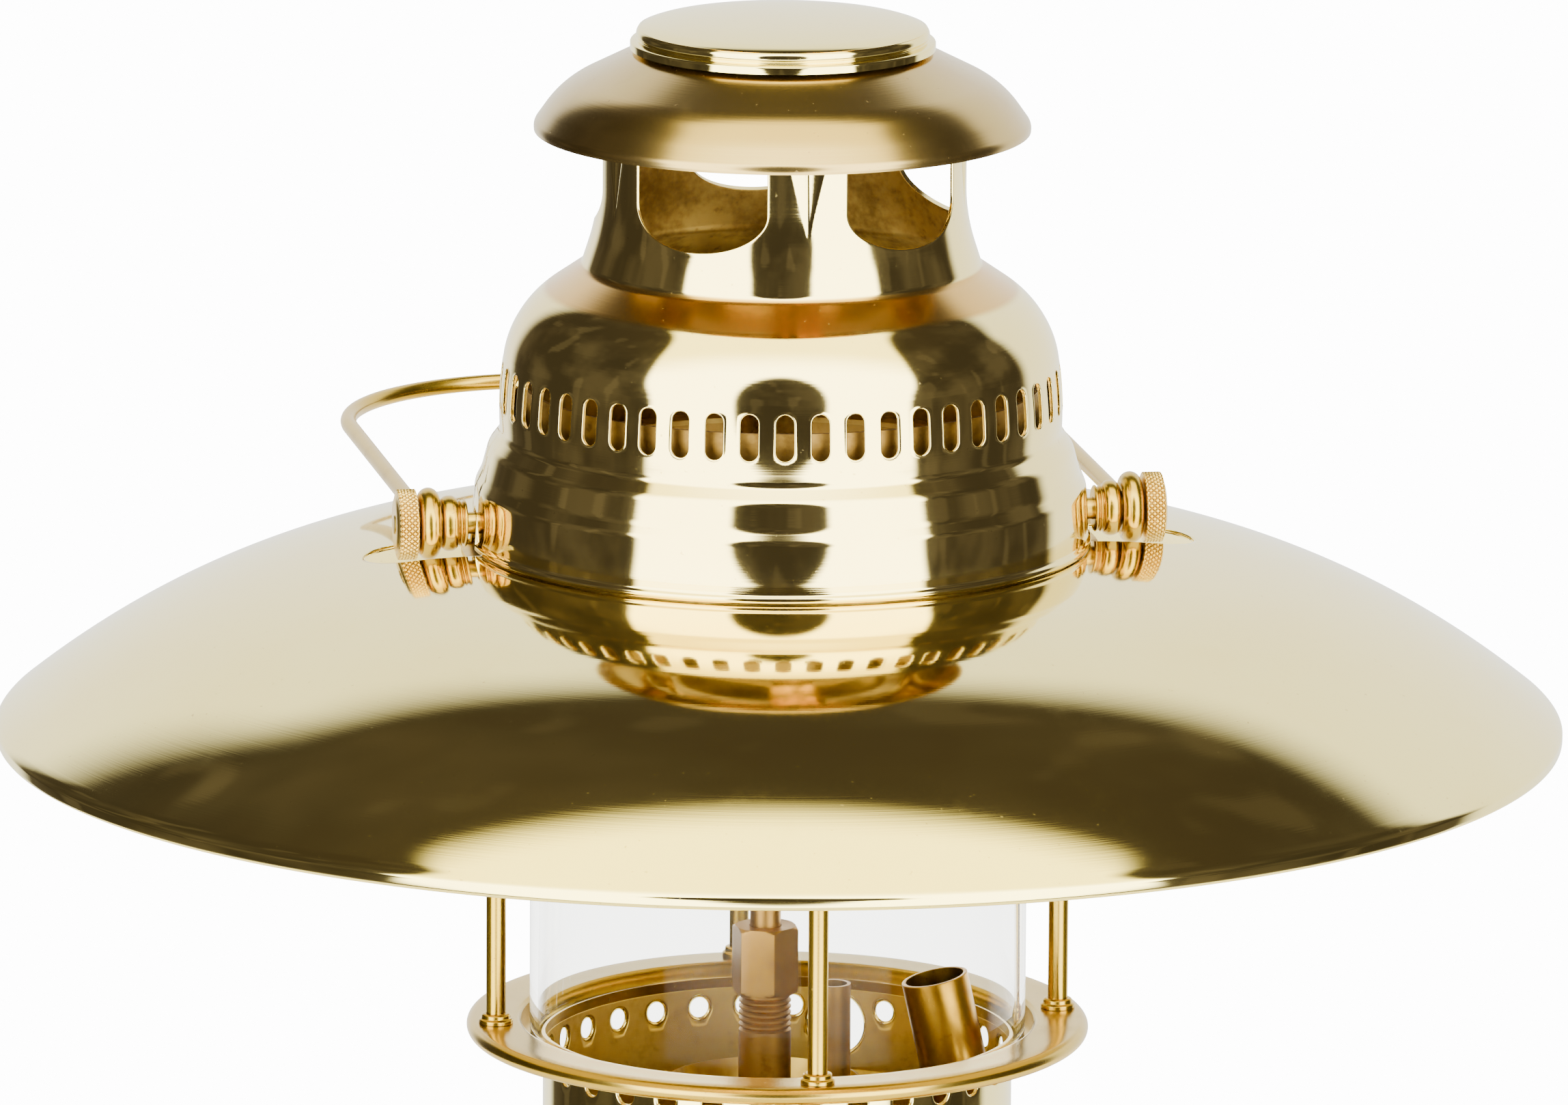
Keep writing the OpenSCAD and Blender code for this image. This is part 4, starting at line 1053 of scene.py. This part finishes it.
# ---- studio: a pale floor, a white surround, a light tent and a dark room round them
studio = {"azimuth": -8.1, "paper": 14.0, "backdrop": (2.3, 2.3, 2.2), "through": (5.5, 5.45, 5.2),
          "gapHeight": 0.14, "gapAbove": 0.62, "gapBelow": 0.42, "gapWidth": 0.122,
          "strips": (10.0, 9.9, 9.2), "overhead": (5.6, 5.1, 2.8),
          "roomDark": (0.062, 0.052, 0.044), "roomPale": (0.18, 0.155, 0.13),
          "ceiling": (0.085, 0.068, 0.052), "ground": (0.9, 0.86, 0.76)}


def makeWorld():
    world = bpy.data.worlds.new("studio")
    bpy.context.scene.world = world
    world.use_nodes = True
    look = Shade(world.node_tree)
    way = look.node("ShaderNodeTexCoord", {}, {}, "Generated")
    x, y, z = look.split(way)
    c, s = math.cos(math.radians(studio["azimuth"])), math.sin(math.radians(studio["azimuth"]))
    right = x * c + y * s
    front = x * s - y * c
    # the paper backdrop behind the lantern, as a flat card
    away = 0 - front
    behind = away.atLeast(0.02)
    u, v = right / behind, z / behind
    backdrop = u.between(-0.78, -0.52) * (1 - u.between(1.35, 1.9)) * (1 - v.between(0.9, 1.3))
    backdrop = backdrop * away.between(0.02, 0.10)
    # the light tent in front and overhead, with a gap in its middle
    rise = z.math("ARCTAN2", z, front)
    lateral = right.one("ABSOLUTE") / (front * front + z * z + 0.0004).one("SQRT")
    wide = 1.40 - rise.between(0.5, 1.8) * 0.95
    tent = (1 - (lateral / wide).between(0.93, 1.07)) * rise.between(-0.55, -0.35)
    tent = tent * (1 - rise.between(1.70, 1.82))
    over = (rise - studio["gapHeight"]).atLeast(0.0) / studio["gapAbove"]
    under = (studio["gapHeight"] - rise).atLeast(0.0) / studio["gapBelow"]
    gap = lateral * lateral / studio["gapWidth"] + over * over + under * under
    tent = tent * gap.between(0.84, 1.16)
    high = rise.between(0.8, 1.3)
    # the dark room round them, and the pale ground
    drift = look.noise(way, 2.6, 3.0).between(0.40, 0.68)
    panel = look.noise(look.stretch(way, (7.0, 7.0, 1.2)), 1.0, 1.0).between(0.60, 0.66)
    room = look.mix((drift * 0.6 + panel * 0.5).held(), studio["roomDark"], studio["roomPale"])
    room = look.mix(z.between(0.55, 0.95) * 0.7, room, studio["ceiling"])
    room = look.mix((0 - z).between(0.30, 0.55), room, studio["ground"])
    lit = look.mix(backdrop, room, studio["backdrop"])
    lit = look.mix(tent, lit, look.mix(high, studio["strips"], studio["overhead"]))
    passed = look.node("ShaderNodeLightPath", {}, {}, "Is Transmission Ray")
    lit = look.mix(passed * backdrop, lit, studio["through"])
    camera = look.node("ShaderNodeLightPath", {}, {}, "Is Camera Ray")
    paper = studio["paper"]
    final = look.mix(camera, lit, (paper, paper, paper))
    surround = look.node("ShaderNodeBackground", {}, {"Color": final, "Strength": 1.0})
    look.node("ShaderNodeOutputWorld", {}, {"Surface": surround})


makeWorld()


def makeFloor():
    mesh = bpy.data.meshes.new("floor")
    size = 0.6
    mesh.from_pydata([(size * math.cos(a), size * math.sin(a), -0.0005)
                      for a in np.linspace(0, 2 * math.pi, 128, endpoint=False)], [],
                     [tuple(range(128))])
    floor = bpy.data.objects.new("floor", mesh)
    bpy.context.scene.collection.objects.link(floor)
    material, tone = newMaterial("floor_paper")
    grain = tone.noise(tone.place(), 90.0, 4.0)
    closeMaterial(tone, {"Base Color": tone.mix(grain, (0.84, 0.83, 0.81), (0.88, 0.87, 0.85)),
                         "Roughness": 0.7 + grain * 0.1})
    mesh.materials.append(material)


makeFloor()

eye = {"place": (-0.4501, -3.1682, 0.9697), "azimuth": -8.1, "pitch": 12.07, "roll": 0.33,
       "lens": 374.7}


def makeCamera():
    data = bpy.data.cameras.new("camera")
    camera = bpy.data.objects.new("camera", data)
    bpy.context.scene.collection.objects.link(camera)
    data.sensor_width = 36
    data.lens = eye["lens"]
    data.clip_start, data.clip_end = 0.1, 20
    camera.location = eye["place"]
    turn = Matrix.Rotation(math.radians(eye["azimuth"]), 3, "Z")
    tip = Matrix.Rotation(math.radians(90 - eye["pitch"]), 3, "X")
    roll = Matrix.Rotation(math.radians(eye["roll"]), 3, "Z")
    camera.rotation_mode = "QUATERNION"
    camera.rotation_quaternion = (turn @ tip @ roll).to_quaternion()
    bpy.context.scene.camera = camera


makeCamera()
